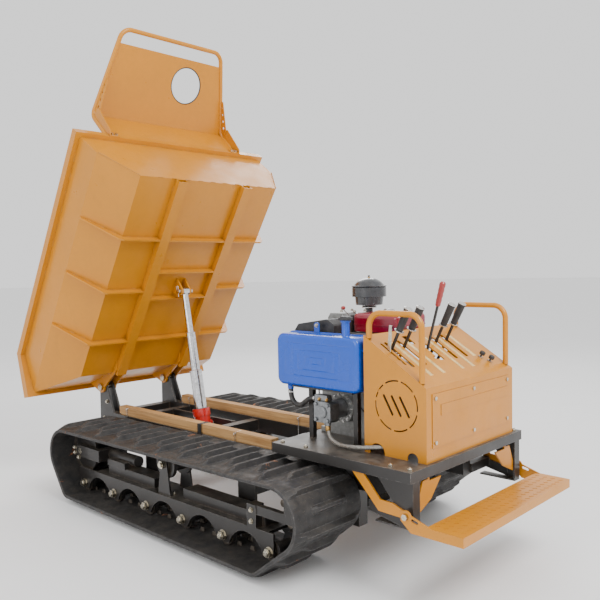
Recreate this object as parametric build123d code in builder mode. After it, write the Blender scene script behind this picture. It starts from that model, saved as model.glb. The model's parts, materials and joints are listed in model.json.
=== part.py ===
"""Tracked mini dumper with a tipping skip, shown tipped.

Frame: +X is forward (the tipping end), +Y is the machine's left, +Z is up.
The origin is on the ground below the middle of the overall box. Millimetres.
"""
from build123d import *
from math import cos, radians, sin, tan
import os

os.makedirs("parts", exist_ok=True)

# --- driving dimensions -------------------------------------------------------------------
tip_angle = 58.5                          # how far the skip is raised from lying flat
hinge_x, hinge_z, hinge_y = 1198, 569, 236  # skip hinge: place, height, half the lug spacing

track_y, belt_width, belt_thick = 495, 410, 17
lug_height, lug_pitch = 25, 90
belt_inside_z = lug_height + belt_thick   # upper side of the belt where it lies on the ground
roller_r, roller_pitch, roller_count = 50, 304, 6
first_roller_x = 892
roller_z = belt_inside_z + roller_r
roller_xs = [first_roller_x - i * roller_pitch for i in range(roller_count)]
sprocket_x, sprocket_z, sprocket_r = -755, 290, 128
idler_x, idler_z, idler_r = 929, 268, 126
carrier_x, carrier_z, carrier_r = 142, 329, 74
frame_half = 85                           # track centre to the outer face of a side plate
side_plate = 10
plate_top, lobe_bottom = 175, 62
axle_r, running_gap = 12, 0.05
wheel_gap = 0.6                           # wheels stay this far inside the belt

rail_y, rail_w, rail_z, rail_h = hinge_y, 60, 335, 80
cheek_half, pin_r = 30, 15                # hinge bracket half width, hinge pin radius
rail_rear, rail_front = -1100, 1110
beam_w, beam_z, beam_h = 50, 423, 45      # timber that the lowered skip rests on
beam_rear, beam_front = -320, 1020

deck_rear, deck_front, deck_half, deck_top, deck_depth = -1264, -522, 450, 524, 43
console_rear, console_front = -1247, -941
console_left, console_right = 315, -394
console_low, console_high = 298, 490      # its height above the deck, rear and front
sheet = 4
tank_x, tank_y, tank_z = (-921, -440), (246, 330), (764, 1000)

suction_route = [(-500, 300, 742), (-500, 300, 706), (-526, 300, 675), (-566, 300, 672), (-597, 300, 698),
                 (-629, 300, 715), (-663, 300, 715)]
pressure_route = [(-725, 300, 602), (-725, 300, 574), (-751, 309, 545), (-798, 324, 535),
                  (-856, 340, 538), (-921, 347, 545), (-985, 331, 552), (-1026, 303, 555), (-1050, 272, 557)]

floor_front, floor_rear, floor_w = 161, 1473, -63   # skip, measured from its hinge
floor_half, crease_half, rim_half = 493, 634, 653
crease_w, rim_w, rim_rear = 157, 375, 1498
kink_u, tip_u, tip_w = 51, -132, 180
hem = 24                                  # thickness of the folded hem round the skip's rim
hem_depth = 45

ram_pin_u, ram_pin_w = 783, -128
trunnion_x, trunnion_z = 533, 380
ram_closed = 132.8                        # trunnion to eye with the skip lowered
step_top, step_inner, step_outer, step_half, step_skirt = 335, -1333, -1490, 456, 37
step_pivot_x, step_pivot_z = -1243, 355

bed = Plane(
    origin=(hinge_x, 0, hinge_z),
    x_dir=(-cos(radians(tip_angle)), 0, sin(radians(tip_angle))),
    z_dir=(sin(radians(tip_angle)), 0, cos(radians(tip_angle))),
)
bed_side = Plane(origin=bed.origin, x_dir=bed.x_dir, z_dir=-bed.y_dir)   # profiles, seen from the side
bed_end = Plane(origin=bed.origin, x_dir=bed.y_dir, z_dir=bed.x_dir)     # profiles, seen from the end


def write(piece, name):
    """Label a finished piece and write its STEP."""
    piece.part.label = name
    export_step(piece.part, f"parts/{name}.step")


def block(x, y, z, mode=Mode.ADD):
    """A rectangular block between two x, two y and two z values of the active workplane."""
    with Locations(((x[0] + x[1]) / 2, (y[0] + y[1]) / 2, (z[0] + z[1]) / 2)):
        Box(abs(x[1] - x[0]), abs(y[1] - y[0]), abs(z[1] - z[0]), mode=mode)


def slab(plane, points, low, high, mode=Mode.ADD, corner=0):
    """A plate with a polygon outline on a plane, from one offset to another."""
    with BuildSketch(plane.offset(low)) as outline:
        Polygon(*points, align=None)
        if corner:
            fillet(outline.vertices(), corner)
    extrude(outline.sketch, amount=high - low, mode=mode)


def drum(x, y, z, radius, mode=Mode.ADD):
    """A cylinder lying along Y between two y values."""
    with BuildSketch(Plane.XZ.offset(-y[1])) as disc:
        with Locations((x, z)):
            Circle(radius)
    extrude(disc.sketch, amount=y[1] - y[0], mode=mode)


def post(x, y, z, radius, mode=Mode.ADD):
    """An upright cylinder between two z values."""
    with BuildSketch(Plane.XY.offset(z[0])) as disc:
        with Locations((x, y)):
            Circle(radius)
    extrude(disc.sketch, amount=z[1] - z[0], mode=mode)


def hex_bolt(plane, across_flats, height):
    """A hexagon head on a plane, with its shank end left out."""
    with BuildSketch(plane) as head:
        RegularPolygon(across_flats / 2, 6, major_radius=False)
    extrude(head.sketch, amount=height)


def pipe(points, bend, radius):
    """A round tube centre line through points with rounded corners, swept solid."""
    with BuildLine() as line:
        FilletPolyline(*points, radius=bend)
    start = Plane(origin=line.wire() @ 0, z_dir=line.wire() % 0)
    with BuildSketch(start) as section:
        Circle(radius)
    sweep(section.sketch, path=line.wire())


# --- rubber tracks ------------------------------------------------------------------------
def belt_hull(extra, y):
    """The belt's loop as the hull of the wheels it runs round, grown by extra."""
    rounds = [(sprocket_x, sprocket_z, sprocket_r), (idler_x, idler_z, idler_r)]
    rounds += [(x, roller_z, roller_r) for x in (roller_xs[0], roller_xs[-1])]
    with BuildSketch(Plane.XZ.offset(-y)) as loop:
        with BuildLine():
            for x, z, r in rounds:
                CenterArc((x, z), r + extra, 0, 360)
        make_hull()
    return loop


belt_edge = track_y + belt_width / 2
with BuildPart() as rubber_track:
    extrude(belt_hull(belt_thick, belt_edge).sketch, amount=belt_width)
    extrude(belt_hull(0, belt_edge).sketch, amount=belt_width, mode=Mode.SUBTRACT)
    tread = belt_hull(belt_thick, track_y).sketch.face().outer_wire()
    lug_count = 2 * round(tread.length / lug_pitch / 2)
    print("lugs", lug_count, "first at", tread @ 0)
    middle = tread.bounding_box().center()
    for i in range(lug_count):
        at = tread @ (i / lug_count)
        out = (tread % (i / lug_count)).cross(Vector(0, 1, 0))
        if out.dot(at - middle) < 0:
            out = out * -1
        long_lug = i % 2 == 0
        foot = Plane(origin=at - out * 3, x_dir=(0, 1, 0), z_dir=out)
        with BuildSketch(foot) as root:
            Rectangle(2 * (195 if long_lug else 105), 36)
        with BuildSketch(foot.offset(lug_height + 3)) as crest:
            Rectangle(2 * (137 if long_lug else 74), 16)
        loft([root.sketch.face(), crest.sketch.face()])
rubber_track.part.label = "rubber_track_left"
export_step(rubber_track.part, "parts/rubber_track_left.step")
with BuildPart() as rubber_track_right:
    add(rubber_track.part.moved(Location((0, -2 * track_y, 0))))
write(rubber_track_right, "rubber_track_right")

# --- track frames: side plates with arches over the rollers, and their box rail -------------
plate_rear, plate_front = roller_xs[-1] - 25, roller_xs[0] + 61
arch_r = 120
arch_z = 25
with BuildPart() as track_frames:
    for outer in (track_y + frame_half, track_y - frame_half + side_plate):
        slab(Plane.XZ, [(plate_rear, lobe_bottom), (plate_front - 43, lobe_bottom), (plate_front - 17, 98),
                        (plate_front, 128), (plate_front, plate_top), (plate_rear, plate_top)],
             -outer, -outer + side_plate)
        for x in roller_xs[:-1]:
            drum(x - roller_pitch / 2, (outer - side_plate, outer), arch_z, arch_r, Mode.SUBTRACT)
        for x in roller_xs:
            drum(x, (outer - side_plate, outer), roller_z, axle_r, Mode.SUBTRACT)
    rail_top = 225
    block((plate_rear + 40, 780), (track_y - 75, track_y + 75), (plate_top - 14, plate_top))
    block((plate_rear + 90, 20), (track_y - 45, track_y + 45), (plate_top, rail_top))
    block((264, 700), (track_y - 45, track_y + 45), (plate_top, rail_top))
    for side in (track_y - 72, track_y + 62):
        slab(Plane.XZ, [(carrier_x - 50, plate_top), (carrier_x + 50, plate_top),
                        (carrier_x + 24, carrier_z + 20), (carrier_x - 24, carrier_z + 20)],
             -side - 10, -side)
    for side in (track_y - 72, track_y + 62):
        drum(carrier_x, (side, side + 10), carrier_z, axle_r, Mode.SUBTRACT)
    pedestal_x = (-546, -489)
    block(pedestal_x, (track_y + 35, track_y + 85), (plate_top, 275))
    block((sprocket_x - 40, pedestal_x[0]), (track_y + 57, track_y + 81), (235, 275))
    block((sprocket_x - 40, sprocket_x + 40), (track_y + 57, track_y + 81), (275, 330))
    drum(sprocket_x, (track_y + 57, track_y + 81), sprocket_z, 25, Mode.SUBTRACT)
    mirror(track_frames.part, about=Plane.XZ)
write(track_frames, "track_frames")

# --- wheels -------------------------------------------------------------------------------
def wheel(x, z, rim_r, rim, hub_r, bore_r, side):
    """A double-rimmed wheel on a track's centre line: rim is the inner and outer half width."""
    y = side * track_y
    with BuildPart() as turned:
        drum(x, (y - rim[1], y + rim[1]), z, rim_r)
        drum(x, (y - rim[0], y + rim[0]), z, rim_r + 1, Mode.SUBTRACT)
        drum(x, (y - rim[0], y + rim[0]), z, hub_r)
        for face in (-1, 1):
            drum(x, sorted((y + face * (rim[1] - 6), y + face * rim[1])), z, rim_r - 14, Mode.SUBTRACT)
            drum(x, sorted((y + face * (rim[1] - 7), y + face * rim[1])), z, bore_r + 10)
        drum(x, (y - rim[1], y + rim[1]), z, bore_r, Mode.SUBTRACT)
    return turned


tooth_count = 14
for side, word in ((1, "left"), (-1, "right")):
    for i, x in enumerate(roller_xs):
        road_roller = wheel(x, roller_z, roller_r - wheel_gap, (46, 68), 27, axle_r + running_gap, side)
        write(road_roller, f"road_roller_{word}_{i + 1}")
    carrier = wheel(carrier_x, carrier_z, carrier_r, (40, 60), 48, axle_r + running_gap, side)
    write(carrier, f"carrier_roller_{word}")
    idler = wheel(idler_x, idler_z, idler_r - wheel_gap, (38, 58), 96, 18 + running_gap, side)
    write(idler, f"front_idler_{word}")

    y = side * track_y
    with BuildPart() as sprocket:
        drum(sprocket_x, (y - 18, y + 18), sprocket_z, 104)
        for i in range(tooth_count):
            angle = radians(360 / tooth_count * i)
            drum(sprocket_x + 106 * cos(angle), (y - 18, y + 18), sprocket_z + 106 * sin(angle), 17)
        drum(sprocket_x, (y - 50, y + 50), sprocket_z, 62)
        for i in range(7):
            angle = radians(360 / 7 * i)
            drum(sprocket_x + 80 * cos(angle), (y - 18, y + 18), sprocket_z + 80 * sin(angle), 9,
                 Mode.SUBTRACT)
        drum(sprocket_x, (y - 50, y + 50), sprocket_z, 25 + running_gap, Mode.SUBTRACT)
    write(sprocket, f"drive_sprocket_{word}")

with BuildPart() as wheel_axles:
    for x in roller_xs:
        drum(x, (track_y - 97, track_y + 112), roller_z, axle_r)
        for y in (track_y - 97, track_y + 85):
            hex_bolt(Plane(origin=(x, y, roller_z), x_dir=(1, 0, 0), z_dir=(0, 1, 0)), 36,
                     12 if y < track_y else 18)
    drum(carrier_x, (track_y - 84, track_y + 98), carrier_z, axle_r)
    for y in (track_y - 84, track_y + 72):
        hex_bolt(Plane(origin=(carrier_x, y, carrier_z), x_dir=(1, 0, 0), z_dir=(0, 1, 0)), 36,
                 12 if y < track_y else 18)
    drum(idler_x, (track_y - 92, track_y + 92), idler_z, 18)
    mirror(wheel_axles.part, about=Plane.XZ)
write(wheel_axles, "wheel_axles")

# idler forks with their grease-filled tensioning cylinders
with BuildPart() as track_tensioners:
    for arm in (track_y - 92, track_y + 62):
        block((750, idler_x + 40), (arm, arm + 30), (idler_z - 32, idler_z + 32))
        drum(idler_x, (arm, arm + 30), idler_z, 18, Mode.SUBTRACT)
    block((725, 775), (track_y - 92, track_y + 92), (idler_z - 32, idler_z + 32))
    with BuildSketch(Plane.YZ.offset(470)) as barrel_end:
        with Locations((track_y, idler_z)):
            Circle(30)
    extrude(barrel_end.sketch, amount=255)
    block((520, 690), (track_y - 58, track_y + 58), (rail_top, idler_z - 10))
    mirror(track_tensioners.part, about=Plane.XZ)
write(track_tensioners, "track_tensioners")

# hydraulic drive motors with their reduction gear, one inside each sprocket
with BuildPart() as final_drives:
    drum(sprocket_x, (rail_y + 42, track_y - 56), sprocket_z, 84)
    drum(sprocket_x, (track_y - 56, track_y + 92), sprocket_z, 25)
    drum(sprocket_x, (rail_y + 30, rail_y + 42), sprocket_z, 104)
    for i in range(8):
        angle = radians(45 * i)
        hex_bolt(Plane(origin=(sprocket_x + 94 * cos(angle), rail_y + 42, sprocket_z + 94 * sin(angle)),
                       x_dir=(1, 0, 0), z_dir=(0, 1, 0)), 14, 8)
    drum(sprocket_x, (140, rail_y - 30), sprocket_z - 20, 58)
    mirror(final_drives.part, about=Plane.XZ)
write(final_drives, "final_drives")

# --- chassis ------------------------------------------------------------------------------
cross_low, cross_high = 228, 288
with BuildPart() as chassis_frame:
    for side in (-1, 1):
        y = side * rail_y
        block((rail_rear, rail_front), (y - rail_w / 2, y + rail_w / 2), (rail_z, rail_z + rail_h))
        block((sprocket_x - 110, sprocket_x + 110), (y - 30, y + 30), (170, rail_z))
        drum(sprocket_x, sorted((y - 30, y + 30)), sprocket_z - 20, 60, Mode.SUBTRACT)
        # tipping hinge brackets: two cheeks a side on the front end of the rail
        for cheek in (y - cheek_half, y + cheek_half - 12):
            slab(Plane.XZ, [(1028, rail_z), (1238, rail_z), (1234, hinge_z), (1198, hinge_z + 32),
                            (1165, hinge_z + 22), (1085, rail_z + rail_h)], -cheek - 12, -cheek)
            drum(hinge_x, (cheek, cheek + 12), hinge_z, pin_r, Mode.SUBTRACT)
        block((1110, 1238), (y - cheek_half + 12, y + cheek_half - 12), (rail_z, rail_z + rail_h))
    for x in (-900, -470, 300, 950, 1180):
        block((x - 30, x + 30), (-rail_y + 30, rail_y - 30), (rail_z + 10, rail_z + 70))
    # ram cradle between two cross tubes
    for side in (-1, 1):
        block((330, 920), sorted((side * 66, side * 80)), (rail_z + 5, rail_z + 75))
        drum(trunnion_x, sorted((side * 66, side * 80)), trunnion_z, 17, Mode.SUBTRACT)
    # lower cross tubes that carry the track frames, and their posts
    for x in (-300, 470):
        for side in (-1, 1):
            block((x - 35, x + 35), sorted((side * (rail_y - 30), side * (track_y - frame_half))),
                  (cross_low, cross_high))
            block((x - 35, x + 35), sorted((side * (rail_y - 30), side * (rail_y + 30))),
                  (cross_high, rail_z))
            frame_side = side * (track_y - frame_half)
            block((x - 60, x + 60), sorted((frame_side - side * 14, frame_side)),
                  (plate_top - 60, cross_high))
write(chassis_frame, "chassis_frame")

# --- timber that the lowered skip lies on ----------------------------------------------------
with BuildPart() as bed_rest_beams:
    for side in (-1, 1):
        block((beam_rear, beam_front), (side * rail_y - beam_w / 2, side * rail_y + beam_w / 2),
              (beam_z, beam_z + beam_h))
        block((beam_rear + 8, beam_front - 8), (side * rail_y - 20, side * rail_y + 20),
              (rail_z + rail_h, beam_z))
write(bed_rest_beams, "bed_rest_beams")

# --- deck with its legs -------------------------------------------------------------------
with BuildPart() as engine_deck:
    block((deck_rear, deck_front), (-deck_half, deck_half), (deck_top - 6, deck_top))
    skirt_low = deck_top - deck_depth
    for y in (-deck_half, deck_half - 6):
        block((deck_rear, deck_front), (y, y + 6), (skirt_low, deck_top))
    for x in (deck_rear, deck_front - 6):
        block((x, x + 6), (-deck_half, deck_half), (skirt_low, deck_top))
    for y in (-rail_y, rail_y):
        for x in (-1085, -800, -560):
            block((x, x + 60), (y - 28, y + 28), (rail_z + rail_h, deck_top - 6))
    for side in (-1, 1):
        face = side * 432
        leg = sorted((face, face - side * 6))
        block((deck_rear + 2, deck_rear + 10), sorted((face, face - side * 46)), (300, deck_top - 6))
        slab(Plane.XZ, [(deck_rear + 2, 300), (-1212, 300), (-1200, 352), (-1062, deck_top - 6),
                        (deck_rear + 2, deck_top - 6)], -leg[1], -leg[0])
        block((-1262, -1082), sorted((face, face - side * 44)), (296, 302))
        block((-1110, -1050), sorted((side * (rail_y + 30), face)), (rail_z, rail_z + 40))
        slab(Plane.XZ, [(-1212, 300), (-1050, rail_z), (-1050, rail_z + 40), (-1200, 345)], -leg[1], -leg[0])
        drum(step_pivot_x, leg, step_pivot_z, 6, Mode.SUBTRACT)
    # stand and tray of the oil tank
    for x in (-872, -612):
        block((x, x + 24), (250, 274), (deck_top, tank_z[0] - 6))
    block((-880, -530), (tank_y[0], tank_y[0] + 74), (tank_z[0] - 6, tank_z[0]))
write(engine_deck, "engine_deck")

# yellow braces under the deck's rear corners
with BuildPart() as step_braces:
    for side in (-1, 1):
        outer = sorted((side * 432.5, side * 440.5))
        slab(Plane.XZ, [(-972, skirt_low), (-1030, skirt_low), (-1112, 390), (-1172, 388), (-1225, 368),
                        (-1218, 340), (-1105, 344)], -outer[1], -outer[0])
        with BuildSketch(Plane.YZ.offset(deck_rear + 11)) as brace:
            with BuildLine():
                Polyline((side * 386, 346), (side * 396, 372), (side * 352, 470), (side * 318, 470),
                         (side * 318, skirt_low), (side * 306, skirt_low), (side * 306, 462),
                         (side * 222, 462), (side * 296, 386), (side * 386, 346))
            make_face()
        extrude(brace.sketch, amount=8)
write(step_braces, "step_braces")

# --- folding step --------------------------------------------------------------------------
with BuildPart() as step_platform:
    block((step_outer, step_inner), (-step_half, step_half), (step_top - 5, step_top))
    low = step_top - step_skirt
    block((step_outer, step_outer + 5), (-step_half, step_half), (low, step_top))
    block((step_inner - 5, step_inner), (-step_half + 5, step_half - 5), (low, step_top))
    for side in (-1, 1):
        skirt = sorted((side * step_half, side * (step_half - 7)))
        block((step_outer, step_inner), skirt, (low, step_top))
        slab(Plane.XZ, [(step_inner - 20, low), (-1266, low), (-1221, step_pivot_z - 18),
                        (-1221, step_pivot_z), (step_pivot_x - 22, step_pivot_z + 8),
                        (step_inner - 20, step_top)], -skirt[1], -skirt[0])
        drum(step_pivot_x, skirt, step_pivot_z, 24)
        drum(step_pivot_x, skirt, step_pivot_z, 6 + running_gap, Mode.SUBTRACT)
        with BuildSketch(Plane.XZ.offset(-skirt[1])) as slot:
            with Locations((step_pivot_x - 40, step_pivot_z - 10)):
                SlotOverall(34, 12, rotation=14)
        extrude(slot.sketch, amount=7, mode=Mode.SUBTRACT)
    # raised chequer pattern
    with Locations((0, 0, step_top)):
        with GridLocations(36, 36, 4, 24):
            with Locations(((step_inner + step_outer) / 2, 0, 0)):
                Box(18, 5, 2.4, rotation=(0, 0, 45))
write(step_platform, "step_platform")

# --- console --------------------------------------------------------------------------------
slope_plane = Plane(
    origin=((console_rear + console_front) / 2, (console_left + console_right) / 2,
            deck_top + (console_low + console_high) / 2),
    x_dir=Vector(console_front - console_rear, 0, console_high - console_low).normalized(),
    z_dir=Vector(console_low - console_high, 0, console_front - console_rear).normalized(),
)
console_outline = [(console_rear, deck_top), (console_front, deck_top),
                   (console_front, deck_top + console_high), (console_rear, deck_top + console_low)]
slope, normal = slope_plane.x_dir, slope_plane.z_dir
lever_along, lever_drop = 60, 150         # levers' resting place in their slots, pivot below the panel
throttle_along, throttle_drop, throttle_y = 20, 90, 270
gear_y = 10
shaft_r, stem_r = 8, 4
knob_places = {"upper": (-75, -262), "lower": (-112, -288)}   # along the slope, y
lever_ys = {"outer_left": 238, "inner_left": 150, "inner_right": -96, "outer_right": -182}
# slots in the sloping panel, along it from its middle
lever_slot, throttle_slot, gear_gate = (-55, 118), (-35, 115), (-45, 92)
with BuildPart() as console_body:
    slab(Plane.XZ, console_outline, -console_left, -console_right)
    inner = [(console_rear + sheet, deck_top), (console_front - sheet, deck_top),
             (console_front - sheet, deck_top + console_high - sheet - 5),
             (console_rear + sheet, deck_top + console_low - sheet - 1)]
    slab(Plane.XZ, inner, -console_left + sheet, -console_right - sheet, Mode.SUBTRACT)
    block((console_front - sheet - 1, console_front + 1), (console_right + 60, console_left - 60),
          (deck_top + 60, deck_top + console_high - 60), Mode.SUBTRACT)
    with BuildSketch(slope_plane.offset(-20)) as slots:
        for y in lever_ys.values():
            with Locations((sum(lever_slot) / 2, y - slope_plane.origin.Y)):
                SlotOverall(lever_slot[1] - lever_slot[0], 22)
        with Locations((sum(throttle_slot) / 2, throttle_y - slope_plane.origin.Y)):
            SlotOverall(throttle_slot[1] - throttle_slot[0], 14)
        with Locations((sum(gear_gate) / 2, gear_y - slope_plane.origin.Y)):
            Rectangle(gear_gate[1] - gear_gate[0], 34)
        with Locations((gear_gate[0] + 20, gear_y + 12 - slope_plane.origin.Y)):
            Rectangle(20, 50)
        with Locations((110, 75 - slope_plane.origin.Y)):
            Rectangle(60, 34)
    extrude(slots.sketch, amount=40, mode=Mode.SUBTRACT)
    emblem_x, emblem_z, emblem_r = -1104, deck_top + 213, 105
    with BuildSketch(Plane.XZ.offset(-console_left - 1)) as emblem:
        with Locations((emblem_x, emblem_z)):
            Circle(emblem_r)
            Circle(emblem_r - 6, mode=Mode.SUBTRACT)
            for i in range(8):
                with PolarLocations(emblem_r - 3, 1, 45 * i + 10):
                    Rectangle(14, 14, mode=Mode.SUBTRACT)
            for i in range(3):
                with Locations(((i - 1) * 40, 0)):
                    SlotOverall(95, 11, rotation=60)
    extrude(emblem.sketch, amount=sheet + 2, mode=Mode.SUBTRACT)
    for x, r in ((-1007, 38), (-1182, 26)):
        drum(x, (console_left - sheet - 1, console_left + 1), deck_top + 8, r, Mode.SUBTRACT)
    for along, drop, y_low in ((lever_along, lever_drop, console_right), (0, lever_drop, console_right),
                               (throttle_along, throttle_drop, throttle_y - 30)):
        pivot = slope_plane.origin + slope * along - normal * drop
        drum(pivot.X, (y_low + sheet / 2, console_left - sheet / 2), pivot.Z, shaft_r)
    for along, y in knob_places.values():
        at = slope_plane.origin + slope * along
        with BuildSketch(Plane(origin=(at.X, y, at.Z), z_dir=normal).offset(-20)) as knob_hole:
            Circle(stem_r + running_gap)
        extrude(knob_hole.sketch, amount=40, mode=Mode.SUBTRACT)
    # valve block at the end of the pressure hose, with the hose's fitting
    hose_end = Vector(*pressure_route[-1])
    with BuildSketch(Plane(origin=hose_end, z_dir=hose_end - Vector(*pressure_route[-2]))) as fitting:
        Circle(13)
    extrude(fitting.sketch, amount=24)
    block((-1082, -1042), (222, 256), (deck_top, deck_top + 56))
write(console_body, "console_body")

cover_y, cover_z = (-355, 275), (deck_top + 55, deck_top + console_low - 28)
with BuildPart() as console_cover:
    block((console_rear - 3, console_rear), cover_y, cover_z)
    block((console_rear - 5, console_rear - 3), (-340, 215), (deck_top + 178, deck_top + 222))
write(console_cover, "console_cover")

with BuildPart() as grab_rails:
    for y in (console_left - 14, console_right + 14):
        pipe([(console_front - 20, y, deck_top + console_high - 12), (console_front - 20, y, 1108),
              (console_rear + 26, y, 1108), (console_rear + 26, y, deck_top + console_low + 16)], 60, 12.5)
    slab(Plane.XZ, console_outline, -console_left, -console_right, Mode.SUBTRACT)
write(grab_rails, "grab_rails")

# levers: rod, guard disc and grip; each pivots on a shaft inside the console
def lever_eye(foot, half):
    """The bored boss that a lever turns on."""
    drum(foot.X, (foot.Y - half, foot.Y + half), foot.Z, 15)
    drum(foot.X, (foot.Y - half, foot.Y + half), foot.Z, shaft_r + running_gap, Mode.SUBTRACT)


def grip(plane, low, high, radius):
    """A grip that widens slightly towards its end."""
    with BuildSketch(plane.offset(low)) as narrow:
        Circle(radius)
    with BuildSketch(plane.offset(high)) as wide:
        Circle(radius + 3)
    loft([narrow.sketch.face(), wide.sketch.face()])


def pivot_point(along, drop, y):
    """A place below the sloping panel."""
    at = slope_plane.origin + slope * along - normal * drop
    return Vector(at.X, y, at.Z)


for name, y in lever_ys.items():
    foot = pivot_point(lever_along, lever_drop, y)
    axis = Plane(origin=foot, z_dir=normal + slope * -0.15 + Vector(0, 0, 0.55))
    with BuildPart() as lever:
        for radius, low, high in ((7, 0, 300), (21, 232, 237)):
            with BuildSketch(axis.offset(low)) as rod:
                Circle(radius)
            extrude(rod.sketch, amount=high - low)
        grip(axis, 237, 342, 14)
        lever_eye(foot, 12)
    write(lever, f"lever_{name}")

gear_foot = pivot_point(0, lever_drop, gear_y)
with BuildPart() as gear_lever:
    shift = Plane(origin=gear_foot, z_dir=(-0.28, 0, 1))
    with BuildSketch(shift) as rod:
        Circle(6)
    extrude(rod.sketch, amount=360)
    grip(shift, 345, 455, 11)
    lever_eye(gear_foot, 12)
write(gear_lever, "gear_lever")

throttle_foot = pivot_point(throttle_along, throttle_drop, throttle_y)
with BuildPart() as throttle_lever:
    with BuildSketch(Plane(origin=throttle_foot, z_dir=(-0.1, 0, 1))) as blade:
        Rectangle(14, 5)
    extrude(blade.sketch, amount=205)
    lever_eye(throttle_foot, 5)
write(throttle_lever, "throttle_lever")

for name, (along, y) in knob_places.items():
    at = slope_plane.origin + slope * along
    knob_plane = Plane(origin=(at.X, y, at.Z), x_dir=slope, z_dir=normal)
    with BuildPart() as knob:
        with BuildSketch(knob_plane.offset(14)) as cap:
            Circle(13)
        extrude(cap.sketch, amount=16)
        with BuildSketch(knob_plane.offset(-50)) as stem:
            Circle(stem_r)
        extrude(stem.sketch, amount=64)
    write(knob, f"pull_knob_{name}")

# --- engine ---------------------------------------------------------------------------------
engine_x, engine_y = -720, -40
with BuildPart() as engine_block:
    slab(Plane.XZ, [(-880, 548), (-570, 548), (-560, 600), (-560, 800), (-600, 850), (-850, 850),
                    (-880, 800)], -150, 200, corner=12)
    for y in (-180, 110):
        block((-890, -550), (y, y + 40), (deck_top, 548))
    for i in range(9):
        block((engine_x - 90, engine_x + 100), (engine_y - 90, engine_y + 90), (858 + i * 11, 863 + i * 11))
    block((engine_x - 70, engine_x + 80), (engine_y - 70, engine_y + 70), (850, 950))
    block((-800, -560), (-120, 90), (950, 990))
    slab(Plane.XZ, [(-645, 990), (-555, 990), (-555, 1060), (-570, 1082), (-640, 1082), (-645, 1070)],
         -95, 10)
    drum(-717, (150, 200), 664, 70)
    drum(engine_x, (-290, -200), 700, 130)
    drum(engine_x, (-305, -290), 700, 60)
write(engine_block, "engine_block")

with BuildPart() as engine_cowl:
    slab(Plane.XZ, [(-465, 905), (-452, 1000), (-480, 1036), (-660, 1064), (-700, 1040), (-700, 905)],
         -222, -130, corner=14)
    slab(Plane.XZ, [(-470, 900), (-457, 1000), (-483, 1031), (-660, 1058), (-694, 1038), (-694, 900)],
         -214, -128, Mode.SUBTRACT)
write(engine_cowl, "engine_cowl")

fuel_x, fuel_y, fuel_z = (-925, -652), (-190, 40), (996, 1082)
with BuildPart() as engine_fuel_tank:
    block(fuel_x, fuel_y, fuel_z)
    fillet(engine_fuel_tank.edges().filter_by(Axis.Z), 30)
    fillet(engine_fuel_tank.faces().sort_by(Axis.Z)[-1].edges(), 24)
    post(-800, -60, (fuel_z[1] - 2, fuel_z[1] + 10), 26)
write(engine_fuel_tank, "engine_fuel_tank")

filter_x, filter_y = -628, -130
with BuildPart() as air_cleaner:
    with BuildSketch(Plane.XZ.offset(-filter_y)) as half:
        with BuildLine():
            Polyline((filter_x, 990), (filter_x + 18, 990), (filter_x + 18, 1090), (filter_x + 34, 1104),
                     (filter_x + 66, 1112), (filter_x + 70, 1150), (filter_x + 84, 1152),
                     (filter_x + 84, 1196), (filter_x + 62, 1222))
            ThreePointArc((filter_x + 62, 1222), (filter_x + 34, 1238), (filter_x, 1243))
            Line((filter_x, 1243), (filter_x, 990))
        make_face()
    revolve(half.sketch, axis=Axis((filter_x, filter_y, 0), (0, 0, 1)))
    post(filter_x, filter_y, (1243, 1256), 5)
write(air_cleaner, "air_cleaner")

# --- hydraulic oil tank on its stand, filler cap, pump and hoses ---------------------------------
cap_x, cap_y = -826, 290
with BuildPart() as hydraulic_tank:
    block(tank_x, tank_y, tank_z)
    fillet(hydraulic_tank.edges().filter_by(Axis.Y), 32)
    fillet(hydraulic_tank.faces().sort_by(Axis.Y)[-1].edges(), 12)
    block((tank_x[0] - 8, tank_x[1] + 8), (tank_y[0] - 4, tank_y[0]), (tank_z[0] - 6, tank_z[1] + 6))
    post(cap_x, cap_y, (tank_z[1] - 6, 1062), 17)
    post(cap_x, cap_y, (1062, 1070), 22)
    block((-636, -606), (tank_y[0], tank_y[0] + 4), (tank_z[1] - 2, 1050))
    post(-500, 300, (tank_z[0] - 22, tank_z[0] + 6), 14)
write(hydraulic_tank, "hydraulic_tank")

with BuildPart() as tank_cap:
    post(cap_x, cap_y, (1070.3, 1082), 31)
    post(cap_x, cap_y, (1082, 1088), 24)
write(tank_cap, "tank_cap")

pump_x, pump_z = -717, 664
with BuildPart() as gear_pump:
    slab(Plane.XZ, [(pump_x - 48, pump_z - 46), (pump_x + 48, pump_z - 46), (pump_x + 48, pump_z + 46),
                    (pump_x - 48, pump_z + 46)], -330, -272, corner=16)
    drum(pump_x, (200, 272), pump_z, 42)
    for dx in (-34, 34):
        for dz in (-34, 34):
            hex_bolt(Plane(origin=(pump_x + dx, 330, pump_z + dz), x_dir=(1, 0, 0), z_dir=(0, 1, 0)), 15, 8)
    drum(pump_x, (330, 336), pump_z, 26)
    block((pump_x - 18, suction_route[-1][0]), (284, 316), (pump_z + 34, pump_z + 72))
    post(pump_x - 8, 300, (pump_z - 62, pump_z - 46), 13)
write(gear_pump, "gear_pump")


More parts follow.
